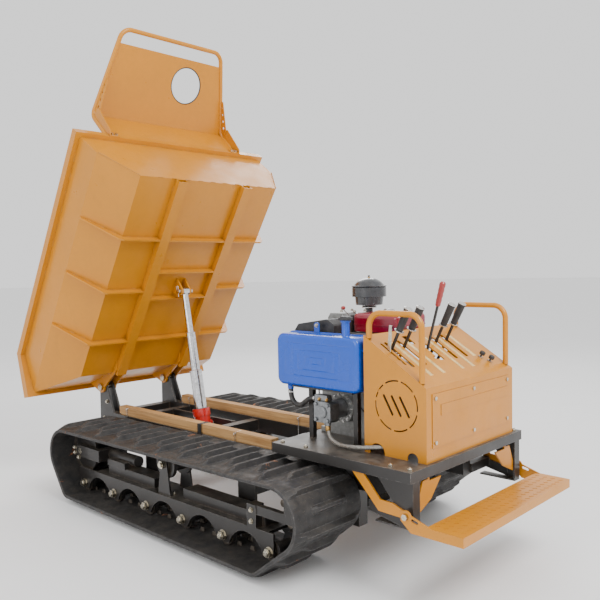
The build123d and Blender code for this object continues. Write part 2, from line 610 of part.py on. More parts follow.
def hose(points, radius, name):
    """A hose along points: each corner is as round as its two runs allow."""
    bends = []
    for before, here, after in zip(points, points[1:], points[2:]):
        first, second = Vector(*here) - Vector(*before), Vector(*after) - Vector(*here)
        turn = radians(first.get_angle(second))
        bends.append(0.45 * min(first.length, second.length) / tan(turn / 2))
    with BuildPart() as tube:
        pipe(points, bends, radius)
    with BuildLine(mode=Mode.PRIVATE) as line:
        FilletPolyline(*points, radius=bends)
    length = line.wire().length
    ratio = tube.part.volume / (3.14159265 * radius ** 2 * length)
    print(name, "radii", [round(bend) for bend in bends], "length", round(length),
          "volume ratio", round(ratio, 3))
    write(tube, name)


hose(suction_route, 12, "suction_hose")
hose(pressure_route, 9, "pressure_hose")

# --- skip --------------------------------------------------------------------------------------
def skip_body():
    """The solid outline of the skip's hopper, in the active bed workplane."""
    section = [(-floor_half, floor_w), (floor_half, floor_w), (crease_half, crease_w), (rim_half, rim_w),
               (-rim_half, rim_w), (-crease_half, crease_w)]
    with BuildSketch(bed_end.offset(tip_u)) as end:
        Polygon(*section, align=None)
    extrude(end.sketch, amount=rim_rear - tip_u)
    nose = [(floor_front, floor_w), (tip_u, tip_w), (kink_u, rim_w), (tip_u - 400, rim_w + 1),
            (tip_u - 400, floor_w - 1), (floor_front, floor_w - 1)]
    slab(bed_side, nose, -700, 700, Mode.SUBTRACT)
    tail = [(floor_rear, floor_w), (rim_rear, rim_w), (rim_rear + 9, rim_w + 1), (rim_rear + 9, floor_w - 1),
            (floor_rear, floor_w - 1)]
    slab(bed_side, tail, -700, 700, Mode.SUBTRACT)


with BuildPart() as skip_outer:
    skip_body()
skip_solid = skip_outer.part

with BuildPart() as skip_tub:
    add(skip_solid)
    centres = {face: bed.to_local_coords(face.center()) for face in skip_tub.faces()}
    mouth = [face for face, at in centres.items()
             if at.Z > rim_w - 1 or (at.X < 0 and at.Z > tip_w + 20)]
    offset(amount=-5, openings=mouth)
write(skip_tub, "skip_tub")

rim_top = [(rim_rear + hem, rim_w), (kink_u - 8, rim_w), (tip_u - 14, tip_w - 12)]
rim_foot = [(tip_u + 22, tip_w - 52), (kink_u + 12, rim_w - hem_depth), (rim_rear + hem, rim_w - hem_depth)]
with BuildPart() as skip_rim:
    slab(bed_side, rim_top + rim_foot, -rim_half - hem, rim_half + hem)
    add(skip_solid, mode=Mode.SUBTRACT)
write(skip_rim, "skip_rim")

channel_low = floor_w - 37
rib_us = (1108, 767, 413)
rib_points = [(-floor_half, floor_w), (floor_half, floor_w), (crease_half, crease_w),
              (crease_half + 8, crease_w - 18), (floor_half + 34, floor_w - 22),
              (floor_half + 8, floor_w - 36), (-floor_half - 8, floor_w - 36),
              (-floor_half - 34, floor_w - 22), (-crease_half - 8, crease_w - 18), (-crease_half, crease_w)]
with BuildPart() as skip_ribs:
    for u in rib_us:
        slab(bed_end, rib_points, u - 5, u + 5)
    add(skip_solid, mode=Mode.SUBTRACT)
    with Locations(bed.location):
        block((700, 820), (-rail_y, rail_y), (floor_w - 60, floor_w), Mode.SUBTRACT)
        for v in (-rail_y, rail_y):
            block((floor_front, floor_rear), (v - 32, v + 32), (channel_low, floor_w))
            block((floor_front - 1, floor_rear + 1), (v - 28, v + 28), (channel_low + 5, floor_w - 4),
                  Mode.SUBTRACT)
        for u in (706, 890):
            block((u, u + 10), (-rail_y + 32, rail_y - 32), (channel_low, floor_w))
write(skip_ribs, "skip_ribs")

head_foot_u, head_foot_w, head_bend_w, head_bend_u = 1510, rim_w, 561, 1549
head_top_u, head_top_w, head_half, head_top_half = 2037, 671, 471, 354
tube_r = 13


def head_point(u, w, side, half):
    """A point of the headboard, from its place along and above the skip."""
    return bed.from_local_coords(Vector(u, side * half, w))


window_u, window_v, window_r = 1807, 130, 110
lean = Vector(head_top_u - head_bend_u, 0, head_top_w - head_bend_w).normalized()
panel_plane = Plane(
    origin=bed.from_local_coords(Vector(head_bend_u, 0, head_bend_w)),
    x_dir=bed.from_local_coords(Vector(0, 1, 0)) - bed.origin,
    z_dir=bed.from_local_coords(Vector(-lean.Z, 0, lean.X)) - bed.origin,
)
panel_length = 420
with BuildPart() as headboard:
    half_route = [(head_foot_u, head_foot_w, head_half), (head_bend_u, head_bend_w, head_half),
                  (head_top_u, head_top_w, head_top_half)]
    route = [head_point(u, w, -1, half) for u, w, half in half_route]
    route += [head_point(u, w, 1, half) for u, w, half in reversed(half_route)]
    pipe(route, [60, 70, 70, 60], tube_r)
    taper = (head_half - head_top_half) / Vector(head_top_u - head_bend_u, 0, head_top_w - head_bend_w).length
    with BuildSketch(panel_plane.offset(-2)) as panel:
        far_half = head_half - 4 - taper * panel_length
        Polygon((-head_half + 4, 0), (head_half - 4, 0), (far_half, -panel_length),
                (-far_half, -panel_length), align=None)
        with Locations((window_v, -(window_u - head_bend_u) / lean.X)):
            Circle(window_r, mode=Mode.SUBTRACT)
    extrude(panel.sketch, amount=4)
    lower = [(head_bend_u - 3, head_bend_w - 3), (head_foot_u + 4, rim_w), (head_foot_u + 8, rim_w),
             (head_bend_u + 3, head_bend_w)]
    slab(bed_side, lower, -head_half + 4, head_half - 4)
    # perforated gussets that follow the tube on its inner side
    for side in (-1, 1):
        leg_start = head_point(head_bend_u, head_bend_w, side, head_half)
        leg_end = head_point(head_top_u, head_top_w, side, head_top_half)
        leg = (leg_end - leg_start).normalized()
        across = leg.cross(panel_plane.z_dir)
        gusset_plane = Plane(origin=leg_start, x_dir=leg, z_dir=across)
        with BuildSketch(gusset_plane.offset(-3)) as gusset:
            facing = 1 if gusset_plane.y_dir.dot(panel_plane.z_dir) > 0 else -1
            Polygon((0, 0), (215, 0), (222, -facing * 26), (30, -facing * 62), (0, -facing * 62),
                    align=None)
            for i in range(4):
                with Locations((55 + 42 * i, -facing * (34 - 5 * i))):
                    Circle(9 - i, mode=Mode.SUBTRACT)
        extrude(gusset.sketch, amount=6)
        slab(bed_side, [(head_bend_u, head_bend_w), (head_bend_u + 62, head_bend_w - 48),
                        (rim_rear + hem + 26, rim_w - 30), (rim_rear + hem, rim_w - hem_depth),
                        (rim_rear + hem, rim_w)],
             side * head_half - 3, side * head_half + 3)
        slab(bed_side, [(rim_rear + hem, rim_w + 4), (rim_rear + hem + 5, rim_w + 4),
                        (rim_rear + hem + 5, rim_w - hem_depth), (rim_rear + hem, rim_w - hem_depth)],
             *sorted((side * head_half, side * (head_half - 60))))
    add(skip_rim.part, mode=Mode.SUBTRACT)
write(headboard, "headboard")

# hinge lugs outside the chassis brackets, and the two ears for the ram's pin
nose_w = floor_w + floor_front * (tip_w - floor_w) / (floor_front - tip_u)   # nose underside above the hinge
with BuildPart() as skip_lugs:
    lug_points = [(-36, 0), (-60, nose_w + 50), (0, nose_w), (floor_front, floor_w), (255, floor_w),
                  (200, -92), (30, -35)]
    for side in (-1, 1):
        for inner in (side * rail_y - cheek_half - 13, side * rail_y + cheek_half + 1):
            slab(bed_side, lug_points, inner, inner + 12)
            with BuildSketch(bed_side.offset(inner)) as boss:
                Circle(36)
            extrude(boss.sketch, amount=12)
            with BuildSketch(bed_side.offset(inner)) as bore:
                Circle(pin_r + running_gap)
            extrude(bore.sketch, amount=12, mode=Mode.SUBTRACT)
    for inner in (-34, 22):
        with BuildSketch(bed_side.offset(inner)) as ear:
            with BuildLine():
                Polyline((ram_pin_u + 24, ram_pin_w), (ram_pin_u + 50, floor_w), (ram_pin_u - 50, floor_w),
                         (ram_pin_u - 24, ram_pin_w))
                ThreePointArc((ram_pin_u - 24, ram_pin_w), (ram_pin_u, ram_pin_w - 24),
                              (ram_pin_u + 24, ram_pin_w))
            make_face()
            with Locations((ram_pin_u, ram_pin_w)):
                Circle(14, mode=Mode.SUBTRACT)
        extrude(ear.sketch, amount=12)
    add(skip_solid, mode=Mode.SUBTRACT)
    add(skip_ribs.part, mode=Mode.SUBTRACT)
write(skip_lugs, "skip_lugs")

rear_face = Plane(origin=bed.from_local_coords(Vector(rim_rear + hem + 5, 0, rim_w - 22)), x_dir=bed.y_dir,
                  z_dir=bed.x_dir)
with BuildPart() as skip_bolts:
    for v in (-452, -425, 425, 452):
        at = rear_face.from_local_coords(Vector(v, 0, 0))
        hex_bolt(Plane(origin=at, x_dir=bed.y_dir, z_dir=bed.x_dir), 19, 9)
    with BuildSketch(bed_side.offset(-52)) as pin:
        with Locations((ram_pin_u, ram_pin_w)):
            Circle(14)
    extrude(pin.sketch, amount=104)
write(skip_bolts, "skip_bolts")

# --- telescopic ram: places along its axis are measured from the trunnion -------------------------
eye = bed.from_local_coords(Vector(ram_pin_u, 0, ram_pin_w))
trunnion = Vector(trunnion_x, 0, trunnion_z)
ram_open = (eye - trunnion).length
stroke = (ram_open - ram_closed) / 3
ram = Plane(origin=trunnion, x_dir=(0, 1, 0), z_dir=eye - trunnion)
print("ram open", round(ram_open, 2), "stroke of a stage", round(stroke, 3), "axis", ram.z_dir)


def tube(low, high, outer, bore=0, floor=0):
    """A ram tube between two places on the axis, closed at the bottom by a floor."""
    with BuildSketch(ram.offset(low)) as ring:
        Circle(outer)
    extrude(ring.sketch, amount=high - low)
    if bore:
        with BuildSketch(ram.offset(low + floor)) as hollow:
            Circle(bore)
        extrude(hollow.sketch, amount=high - low - floor, mode=Mode.SUBTRACT)


rod_r, middle_r, outer_r, barrel_r = 19, 27, 36, 47
with BuildPart() as ram_rod:
    tube(-150 + 3 * stroke, ram_closed + 3 * stroke, rod_r)
    drum(eye.X, (-21, 21), eye.Z, 24)
    drum(eye.X, (-21, 21), eye.Z, 14 + running_gap, Mode.SUBTRACT)
write(ram_rod, "ram_rod")
with BuildPart() as ram_stage_middle:
    tube(-155 + 2 * stroke, 102 + 2 * stroke, middle_r, rod_r + running_gap)
write(ram_stage_middle, "ram_stage_middle")
with BuildPart() as ram_stage_outer:
    tube(-160 + stroke, 97 + stroke, outer_r, middle_r + running_gap)
write(ram_stage_outer, "ram_stage_outer")
with BuildPart() as ram_barrel:
    tube(-185, 92, barrel_r, outer_r + running_gap, 15)
    with BuildSketch(ram.offset(48)) as collar:
        Circle(52)
        Circle(barrel_r, mode=Mode.SUBTRACT)
    extrude(collar.sketch, amount=44)
    for side in (-1, 1):
        drum(trunnion_x, sorted((side * 45, side * 62)), trunnion_z, 16)
    with BuildSketch(ram.offset(-180)) as bore_again:
        Circle(outer_r + running_gap)
    extrude(bore_again.sketch, amount=280, mode=Mode.SUBTRACT)
write(ram_barrel, "ram_barrel")

# --- hinge pins and screws fixed to the chassis side --------------------------------------------
with BuildPart() as fixed_pins_and_screws:
    for side in (-1, 1):
        y = side * rail_y
        drum(hinge_x, (y - cheek_half - 20, y + cheek_half + 20), hinge_z, pin_r)
        for y_head in (y - cheek_half - 24, y + cheek_half + 16):
            hex_bolt(Plane(origin=(hinge_x, y_head, hinge_z), x_dir=(1, 0, 0), z_dir=(0, 1, 0)), 40, 8)
        drum(step_pivot_x, sorted((side * 426, side * (step_half + 3))), step_pivot_z, 6)
        hex_bolt(Plane(origin=(step_pivot_x, side * (step_half + 3) - (8 if side < 0 else 0), step_pivot_z),
                       x_dir=(1, 0, 0), z_dir=(0, 1, 0)), 22, 8)
    for y in (-335, -40, 255):
        for z in (cover_z[0] + 20, cover_z[1] - 18):
            with BuildSketch(Plane(origin=(console_rear - 3, y, z), z_dir=(-1, 0, 0))) as screw:
                Circle(8)
            extrude(screw.sketch, amount=5)
write(fixed_pins_and_screws, "fixed_pins_and_screws")
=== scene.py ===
"""Looks of the tracked mini dumper: materials, belts, hoses and small fittings on the CAD frame."""
import bpy
import bmesh
import json
from math import cos, hypot, pi, radians, sin, sqrt
from mathutils import Matrix, Vector, noise


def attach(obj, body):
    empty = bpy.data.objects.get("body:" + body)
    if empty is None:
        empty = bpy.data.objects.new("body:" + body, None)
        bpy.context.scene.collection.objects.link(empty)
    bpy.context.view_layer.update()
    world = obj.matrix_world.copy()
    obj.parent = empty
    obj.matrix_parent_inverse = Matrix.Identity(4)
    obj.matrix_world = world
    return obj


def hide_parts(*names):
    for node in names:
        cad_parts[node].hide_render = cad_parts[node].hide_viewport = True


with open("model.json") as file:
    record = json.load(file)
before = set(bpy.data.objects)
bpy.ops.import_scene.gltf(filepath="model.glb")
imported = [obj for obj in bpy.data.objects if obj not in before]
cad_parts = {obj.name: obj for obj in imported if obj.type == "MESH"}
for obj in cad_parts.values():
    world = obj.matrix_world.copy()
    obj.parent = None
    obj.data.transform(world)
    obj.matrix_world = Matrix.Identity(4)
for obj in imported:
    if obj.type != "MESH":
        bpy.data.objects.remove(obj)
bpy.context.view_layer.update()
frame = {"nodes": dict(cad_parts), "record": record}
nodes = frame["nodes"]
slots = {row["node"]: row["material_slot"] for row in frame["record"]["subparts"]}
MM = 0.001

# places that several sections share, in millimetres, and the angle of the raised skip
HINGE_X, HINGE_Z, TIP = 1198, 569, radians(58.5)
RAIL_Y = 236                # middle of a chassis rail, of the timber on it and of the skip's channel
TRACK_Y = 495               # middle of a track
DECK_Z, FEET_Z = 524, 548.5     # tops of the deck and of the engine's feet
TANK_CAP_X, TANK_CAP_Y = -826, 290
PUMP_X, PUMP_Z = -717, 664


def bed(u, y, w):
    """A point of the raised skip, from its place along, across and above the skip, in millimetres."""
    return Vector((HINGE_X - u * cos(TIP) + w * sin(TIP), y, HINGE_Z + u * sin(TIP) + w * cos(TIP))) * MM


def mm(x, y, z):
    """A point given in millimetres."""
    return Vector((x, y, z)) * MM


# --- camera ----------------------------------------------------------------------------------
camera_data = bpy.data.cameras.new("camera")
camera_data.sensor_width = 36
camera_data.lens = 42.19
camera_data.shift_x, camera_data.shift_y = -0.0014, 0.0069
camera_data.clip_start, camera_data.clip_end = 0.05, 200
camera = bpy.data.objects.new("camera", camera_data)
bpy.context.collection.objects.link(camera)
camera.matrix_world = Matrix((
    (-0.725982, 0.022837, -0.687334, -2.7577),
    (-0.687465, -0.050985, 0.724426, 2.60245),
    (-0.018500, 0.998438, 0.052713, 1.30180),
    (0, 0, 0, 1),
))
bpy.context.scene.camera = camera


# --- materials --------------------------------------------------------------------------------
class Nodes:
    """Short words for building one material's node tree."""

    def __init__(self, name):
        self.material = bpy.data.materials.new(name)
        self.material.use_nodes = True
        self.tree = self.material.node_tree
        self.shader = self.tree.nodes["Principled BSDF"]
        self.place = self.add("ShaderNodeTexCoord").outputs["Object"]

    def add(self, kind, **values):
        """New node of a kind, with its settings."""
        made = self.tree.nodes.new(kind)
        for key, value in values.items():
            setattr(made, key, value)
        return made

    def link(self, source, target):
        """Set an input to a number or a colour, or join it to another node's output."""
        if isinstance(source, (int, float)):
            target.default_value = source
        elif isinstance(source, tuple):
            target.default_value = (*source, 1)[:len(target.default_value)]
        else:
            self.tree.links.new(source, target)

    def noise(self, scale, detail=4, rough=0.55, stretch=(1, 1, 1), distort=0.0):
        """Noise from 0 to 1 in object space."""
        place = self.add("ShaderNodeMapping")
        place.inputs["Scale"].default_value = stretch
        self.link(self.place, place.inputs["Vector"])
        made = self.add("ShaderNodeTexNoise")
        self.link(place.outputs[0], made.inputs["Vector"])
        wanted = {"Scale": scale, "Detail": detail, "Roughness": rough, "Distortion": distort}
        for key, value in wanted.items():
            made.inputs[key].default_value = value
        return made.outputs["Fac"]

    def ramp(self, value, low, high, to_low=0.0, to_high=1.0):
        """A value mapped from one range to another, clamped."""
        made = self.add("ShaderNodeMapRange")
        for key, number in (("From Min", low), ("From Max", high), ("To Min", to_low), ("To Max", to_high)):
            made.inputs[key].default_value = number
        self.link(value, made.inputs["Value"])
        return made.outputs[0]

    def math(self, kind, first, second=0.0):
        made = self.add("ShaderNodeMath", operation=kind)
        self.link(first, made.inputs[0])
        self.link(second, made.inputs[1])
        return made.outputs[0]

    def mix(self, factor, first, second):
        """Blend of two colours."""
        made = self.add("ShaderNodeMix", data_type="RGBA")
        self.link(factor, made.inputs["Factor"])
        self.link(first, made.inputs[6])
        self.link(second, made.inputs[7])
        return made.outputs[2]

    def edges(self, radius):
        """1 on edges, 0 on flats: worn edges, and on the track rubber a painted highlight."""
        soft = self.add("ShaderNodeBevel", samples=4)
        soft.inputs["Radius"].default_value = radius
        dot = self.add("ShaderNodeVectorMath", operation="DOT_PRODUCT")
        self.link(soft.outputs[0], dot.inputs[0])
        self.link(self.add("ShaderNodeNewGeometry").outputs["Normal"], dot.inputs[1])
        return self.ramp(dot.outputs["Value"], 0.99, 0.88)

    def corners(self, distance):
        """1 in corners and hollows, from ambient occlusion: a painted-shade mask, also used to place dirt."""
        # ambient occlusion: marks where shade falls, so colour laid by it is painted shade
        shade = self.add("ShaderNodeAmbientOcclusion", samples=4)
        shade.inputs["Distance"].default_value = distance
        return self.ramp(shade.outputs["AO"], 0.75, 0.25)

    def upward(self):
        """1 on faces that look up, where dust settles; on the track rubber it also keeps the lug sides darker
        as painted shade.
        """
        parts = self.add("ShaderNodeSeparateXYZ")
        self.link(self.add("ShaderNodeNewGeometry").outputs["Normal"], parts.inputs[0])
        return self.ramp(parts.outputs["Z"], 0.3, 0.95)

    def bump(self, value, distance, before=None):
        """Relief of a depth in metres, on top of an earlier relief if there is one."""
        made = self.add("ShaderNodeBump")
        made.inputs["Distance"].default_value = distance
        made.inputs["Strength"].default_value = 1.0
        self.link(value, made.inputs["Height"])
        if before is not None:
            self.link(before, made.inputs["Normal"])
        return made.outputs[0]

    def done(self, color, rough, normal=None, **fixed):
        """Join colour, roughness and relief to the shader and return the material."""
        self.link(color, self.shader.inputs["Base Color"])
        self.link(rough, self.shader.inputs["Roughness"])
        if normal is not None:
            self.link(normal, self.shader.inputs["Normal"])
        for key, value in fixed.items():
            self.shader.inputs[key.replace("_", " ")].default_value = value
        return self.material


def shade(color, factor):
    """A darker or lighter colour."""
    return tuple(channel * factor for channel in color)


def paint(name, color, rough=0.32, wear=None, wear_amount=0.6, dirt_and_shade=(0.05, 0.035, 0.02), dirt_and_shade_amount=0.6,
          dust=0.0, peel=0.00025, coat=0.3):
    """Sprayed paint: slight tone changes, orange peel, dirt and painted shade in corners, worn edges and dust
    on top.
    """
    n = Nodes(name)
    tone = n.mix(n.ramp(n.noise(3.2, 5), 0.35, 0.7), shade(color, 0.9), color)
    tone = n.mix(n.ramp(n.noise(38, 3), 0.3, 0.8, 0, 0.35), tone, shade(color, 0.8))
    streaks = n.noise(11, 6, 0.65, (1.6, 1.6, 0.22), 0.4)
    tone = n.mix(n.ramp(streaks, 0.58, 0.8, 0, 0.3), tone, shade(color, 0.62))
    # dark colour in corners from the ambient-occlusion mask, broken by noise: dirt and painted shade
    grime_and_shade = n.math("MULTIPLY", n.corners(0.035), n.ramp(n.noise(24, 5), 0.3, 0.62, 0.25, dirt_and_shade_amount))
    tone = n.mix(grime_and_shade, tone, dirt_and_shade)
    specks = n.ramp(n.noise(150, 2), 0.70, 0.76, 0, 0.55)
    tone = n.mix(specks, tone, shade(color, 0.45))
    scuffs = n.ramp(n.noise(32, 8, 0.75, (1, 1, 3.5), 1.2), 0.66, 0.72, 0, 0.5)
    rough_out = n.ramp(n.noise(9, 6), 0.3, 0.75, rough - 0.07, rough + 0.13)
    rough_out = n.math("ADD", rough_out, n.math("MULTIPLY", scuffs, 0.25))
    if wear:
        worn = n.math("MULTIPLY", n.edges(0.003), n.ramp(n.noise(46, 6, 0.7), 0.46, 0.62, 0, wear_amount))
        tone = n.mix(worn, tone, wear)
    if dust:
        settled = n.math("MULTIPLY", n.upward(), n.ramp(n.noise(14, 6, 0.7), 0.35, 0.7, 0, dust))
        tone = n.mix(settled, tone, (0.30, 0.26, 0.21))
        rough_out = n.math("ADD", rough_out, n.math("MULTIPLY", settled, 0.35))
    waves = n.bump(n.noise(7, 3), 0.0016)
    normal = n.bump(n.noise(420, 2), peel, waves)
    return n.done(tone, rough_out, normal, Coat_Weight=coat, Coat_Roughness=0.12)


def metal(name, color, rough=0.28, tarnish_and_shade=(0.12, 0.09, 0.06), stain=0.5, brushed=(1, 1, 1)):
    """Bare or plated metal with fine lines and stains, and tarnish with painted shade in its hollows."""
    n = Nodes(name)
    tone = n.mix(n.ramp(n.noise(60, 5), 0.35, 0.7), color, shade(color, 0.7))
    # tarnish colour in hollows from the ambient-occlusion mask: tarnish and painted shade
    tone = n.mix(n.math("MULTIPLY", n.corners(0.012), stain), tone, tarnish_and_shade)
    lines = n.noise(240, 3, 0.6, brushed)
    rough_out = n.ramp(lines, 0.3, 0.7, rough - 0.08, rough + 0.16)
    return n.done(tone, rough_out, n.bump(lines, 0.00012), Metallic=1.0)


def plastic(name, color, rough=0.5, grain=0.0003, scale=300, dust=0.15, coat=0.0):
    """Moulded plastic or rubber with a grained skin and a film of dust."""
    n = Nodes(name)
    tone = n.mix(n.ramp(n.noise(20, 5), 0.3, 0.75), color, tuple(c * 1.7 + 0.004 for c in color))
    film = n.ramp(n.noise(35, 6, 0.7), 0.45, 0.75, 0, dust)
    tone = n.mix(film, tone, (0.24, 0.21, 0.18))
    worn = n.math("MULTIPLY", n.edges(0.0015), 0.35)
    tone = n.mix(worn, tone, tuple(c * 3 + 0.05 for c in color))
    rough_out = n.ramp(n.noise(26, 4), 0.3, 0.7, rough - 0.08, rough + 0.14)
    return n.done(tone, rough_out, n.bump(n.noise(scale, 2), grain), Coat_Weight=coat)


def track_rubber():
    """Used track rubber: pale dust on the flats, lug sides left darker as painted shade, a painted highlight
    along the lug edges, and orange clay.
    """
    n = Nodes("track_rubber")
    dark, pale = (0.009, 0.009, 0.010), (0.075, 0.064, 0.052)
    tone = n.mix(n.ramp(n.noise(9, 7, 0.65), 0.35, 0.68), dark, (0.020, 0.019, 0.019))
    # pale dust, weighted onto faces that look up: dust, with painted shade keeping the lug sides dark
    dust_and_side_shade = n.math("MULTIPLY", n.ramp(n.noise(17, 8, 0.72, distort=0.6), 0.36, 0.66),
                   n.ramp(n.upward(), 0, 1, 0.22, 0.60))
    tone = n.mix(dust_and_side_shade, tone, pale)
    # lighter grey along the edges, broken by noise: a painted highlight of the glossy lug crests
    edge_highlight = n.math("MULTIPLY", n.edges(0.006), n.ramp(n.noise(70, 5), 0.35, 0.6, 0.05, 0.7))
    tone = n.mix(edge_highlight, tone, (0.16, 0.15, 0.15))
    clay = n.math("MULTIPLY", n.ramp(n.noise(6.5, 4, 0.6), 0.66, 0.70), n.ramp(n.noise(85, 4), 0.45, 0.55))
    tone = n.mix(clay, tone, (0.42, 0.15, 0.05))
    specks = n.ramp(n.noise(260, 2), 0.66, 0.74, 0, 0.5)
    tone = n.mix(specks, tone, (0.26, 0.22, 0.16))
    scratches = n.noise(60, 8, 0.8, (1, 0.25, 1), 1.5)
    normal = n.bump(scratches, 0.0012, n.bump(n.noise(300, 3), 0.0005))
    return n.done(tone, n.ramp(n.noise(22, 5), 0.3, 0.7, 0.50, 0.85), normal)


def timber():
    """Sawn softwood: long grain, knots, a brown weathered skin."""
    n = Nodes("timber")
    grain = n.noise(26, 8, 0.7, (0.07, 1.6, 1.6), 0.8)
    rings = n.noise(90, 4, 0.6, (0.03, 1.2, 1.2), 0.3)
    tone = n.mix(n.ramp(grain, 0.32, 0.68), (0.62, 0.37, 0.15), (0.36, 0.175, 0.055))
    tone = n.mix(n.ramp(rings, 0.5, 0.7, 0, 0.5), tone, (0.22, 0.10, 0.035))
    stain = n.ramp(n.noise(5, 5, 0.6, (0.5, 1, 1)), 0.55, 0.75, 0, 0.5)
    tone = n.mix(stain, tone, (0.12, 0.075, 0.04))
    worn = n.math("MULTIPLY", n.edges(0.004), 0.4)
    tone = n.mix(worn, tone, (0.70, 0.48, 0.24))
    return n.done(tone, n.ramp(grain, 0.3, 0.7, 0.55, 0.8), n.bump(grain, 0.0012, n.bump(rings, 0.0006)))


def braid():
    """Woven steel braid over a hose."""
    n = Nodes("hose_braid")
    weave = []
    for turn in (0.9, -0.9):
        place = n.add("ShaderNodeMapping")
        place.inputs["Rotation"].default_value = (turn, 0.3, turn)
        n.link(n.place, place.inputs["Vector"])
        wave = n.add("ShaderNodeTexWave", wave_profile="SIN")
        wave.inputs["Scale"].default_value = 130
        n.link(place.outputs[0], wave.inputs["Vector"])
        weave.append(wave.outputs["Fac"])
    cross = n.math("MAXIMUM", *weave)
    tone = n.mix(n.ramp(cross, 0.3, 0.9), (0.07, 0.065, 0.06), (0.52, 0.50, 0.46))
    tone = n.mix(n.ramp(n.noise(45, 5), 0.45, 0.7, 0, 0.6), tone, (0.20, 0.16, 0.12))
    return n.done(tone, 0.42, n.bump(cross, 0.0008), Metallic=0.75)


YELLOW = (0.60, 0.225, 0.0)
M = {
    "yellow_paint": paint("yellow_paint", YELLOW, 0.34, (0.24, 0.09, 0.01), 0.5, dust=0.04, coat=0.12),
    "dark_frame": paint("dark_frame", (0.016, 0.0135, 0.012), 0.38, (0.30, 0.28, 0.26), 0.85,
                        (0.10, 0.07, 0.045), 0.7, dust=0.42, coat=0.15),
    "track_rubber": track_rubber(),
    "dark_wheel": paint("dark_wheel", (0.018, 0.016, 0.015), 0.42, (0.26, 0.25, 0.24), 0.8,
                        (0.11, 0.08, 0.05), 0.8, dust=0.35, coat=0.1),
    "sprocket_iron": metal("sprocket_iron", (0.22, 0.19, 0.16), 0.5, (0.09, 0.05, 0.03), 0.9),
    "zinc": metal("zinc", (0.66, 0.61, 0.50), 0.24, (0.15, 0.10, 0.05), 0.6),
    "timber": timber(),
    "tank_blue": paint("tank_blue", (0.0, 0.075, 0.52), 0.24, (0.10, 0.25, 0.6), 0.3,
                       (0.01, 0.03, 0.10), 0.5, dust=0.02, peel=0.0001, coat=0.35),
    "engine_red": paint("engine_red", (0.26, 0.0, 0.016), 0.22, (0.5, 0.1, 0.1), 0.3, dust=0.05,
                        peel=0.0001, coat=0.8),
    "engine_cast": metal("engine_cast", (0.34, 0.34, 0.33), 0.5, (0.06, 0.05, 0.04), 0.9),
    "black_plastic": plastic("black_plastic", (0.012, 0.012, 0.013), 0.42, 0.0004),
    "filter_black": plastic("filter_black", (0.018, 0.019, 0.022), 0.24, 0.00008, dust=0.10, coat=0.6),
    "grip_black": plastic("grip_black", (0.012, 0.011, 0.011), 0.5, 0.0004, 420, 0.1),
    "grip_red": paint("grip_red", (0.33, 0.012, 0.008), 0.25, dust=0.0, peel=0.0001, coat=0.6),
    "hose_black": plastic("hose_black", (0.014, 0.013, 0.013), 0.38, 0.0003, 500, 0.25),
    "hose_braid": braid(),
    "ram_red": paint("ram_red", (0.60, 0.012, 0.008), 0.24, (0.3, 0.1, 0.08), 0.5, dust=0.0, coat=0.7),
    "ram_chrome": metal("ram_chrome", (0.72, 0.72, 0.73), 0.13, (0.10, 0.09, 0.08), 0.6, (1, 1, 0.05)),
    "pump_alloy": metal("pump_alloy", (0.30, 0.31, 0.32), 0.40, (0.05, 0.045, 0.04), 0.9),
    "steel": metal("steel", (0.72, 0.71, 0.69), 0.22, (0.12, 0.10, 0.08), 0.6),
    "weld": paint("weld", shade(YELLOW, 0.82), 0.34, dust=0.05),
    "label": plastic("label", (0.60, 0.40, 0.14), 0.32, 0.00005, 600, 0.06, 0.3),
    "brass": metal("brass", (0.68, 0.42, 0.14), 0.26, (0.14, 0.08, 0.03), 0.7),
    "seal": plastic("seal", (0.008, 0.008, 0.008), 0.45, 0.0001),
}


# --- mesh helpers -------------------------------------------------------------------------------
def finish_piece(made, body, material, bevel=0.0, angle=35):
    """Material, soft edges, shading and the body that a piece rides on."""
    made.data.materials.append(M[material])
    if made.type == "MESH":
        for polygon in made.data.polygons:
            polygon.use_smooth = True
        made.data.set_sharp_from_angle(angle=radians(angle))
        if bevel:
            soft = made.modifiers.new("soft_edges", "BEVEL")
            soft.width, soft.segments = bevel * MM, 2
            soft.limit_method, soft.angle_limit = "ANGLE", radians(angle)
            soft.harden_normals = True
    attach(made, body)
    return made


def from_bmesh(name, bm):
    """New object in the scene from a finished bmesh."""
    bmesh.ops.recalc_face_normals(bm, faces=bm.faces)
    data = bpy.data.meshes.new(name)
    bm.to_mesh(data)
    bm.free()
    made = bpy.data.objects.new(name, data)
    bpy.context.collection.objects.link(made)
    return made


def axes_of(direction):
    """Two unit vectors across a direction, and the direction itself."""
    along = Vector(direction).normalized()
    side = along.orthogonal().normalized()
    return side, along.cross(side), along


def add_lathe(bm, origin, direction, profile, steps=32, sides=None, ring=False):
    """Turned solid: profile is (radius, distance along), millimetres; sides gives a polygon instead.

    With ring=True the profile is a closed section, so a shaft can pass through the middle.
    """
    side, up, along = axes_of(direction)
    steps = sides or steps
    rings = []
    for radius, distance in profile:
        centre = origin + along * distance * MM
        rings.append([bm.verts.new(centre + (side * cos(2 * pi * i / steps) + up * sin(2 * pi * i / steps))
                                   * max(radius, 0.01) * MM) for i in range(steps)])
    for low, high in zip(rings, rings[1:] + (rings[:1] if ring else [])):
        for i in range(steps):
            bm.faces.new((low[i], low[(i + 1) % steps], high[(i + 1) % steps], high[i]))
    if not ring:
        bm.faces.new(rings[0][::-1])
        bm.faces.new(rings[-1])


def lathe(name, origin, direction, profile, material, body, bevel=0.0, ring=False):
    """One turned piece."""
    bm = bmesh.new()
    add_lathe(bm, origin, direction, profile, 48, ring=ring)
    return finish_piece(from_bmesh(name, bm), body, material, bevel=bevel)


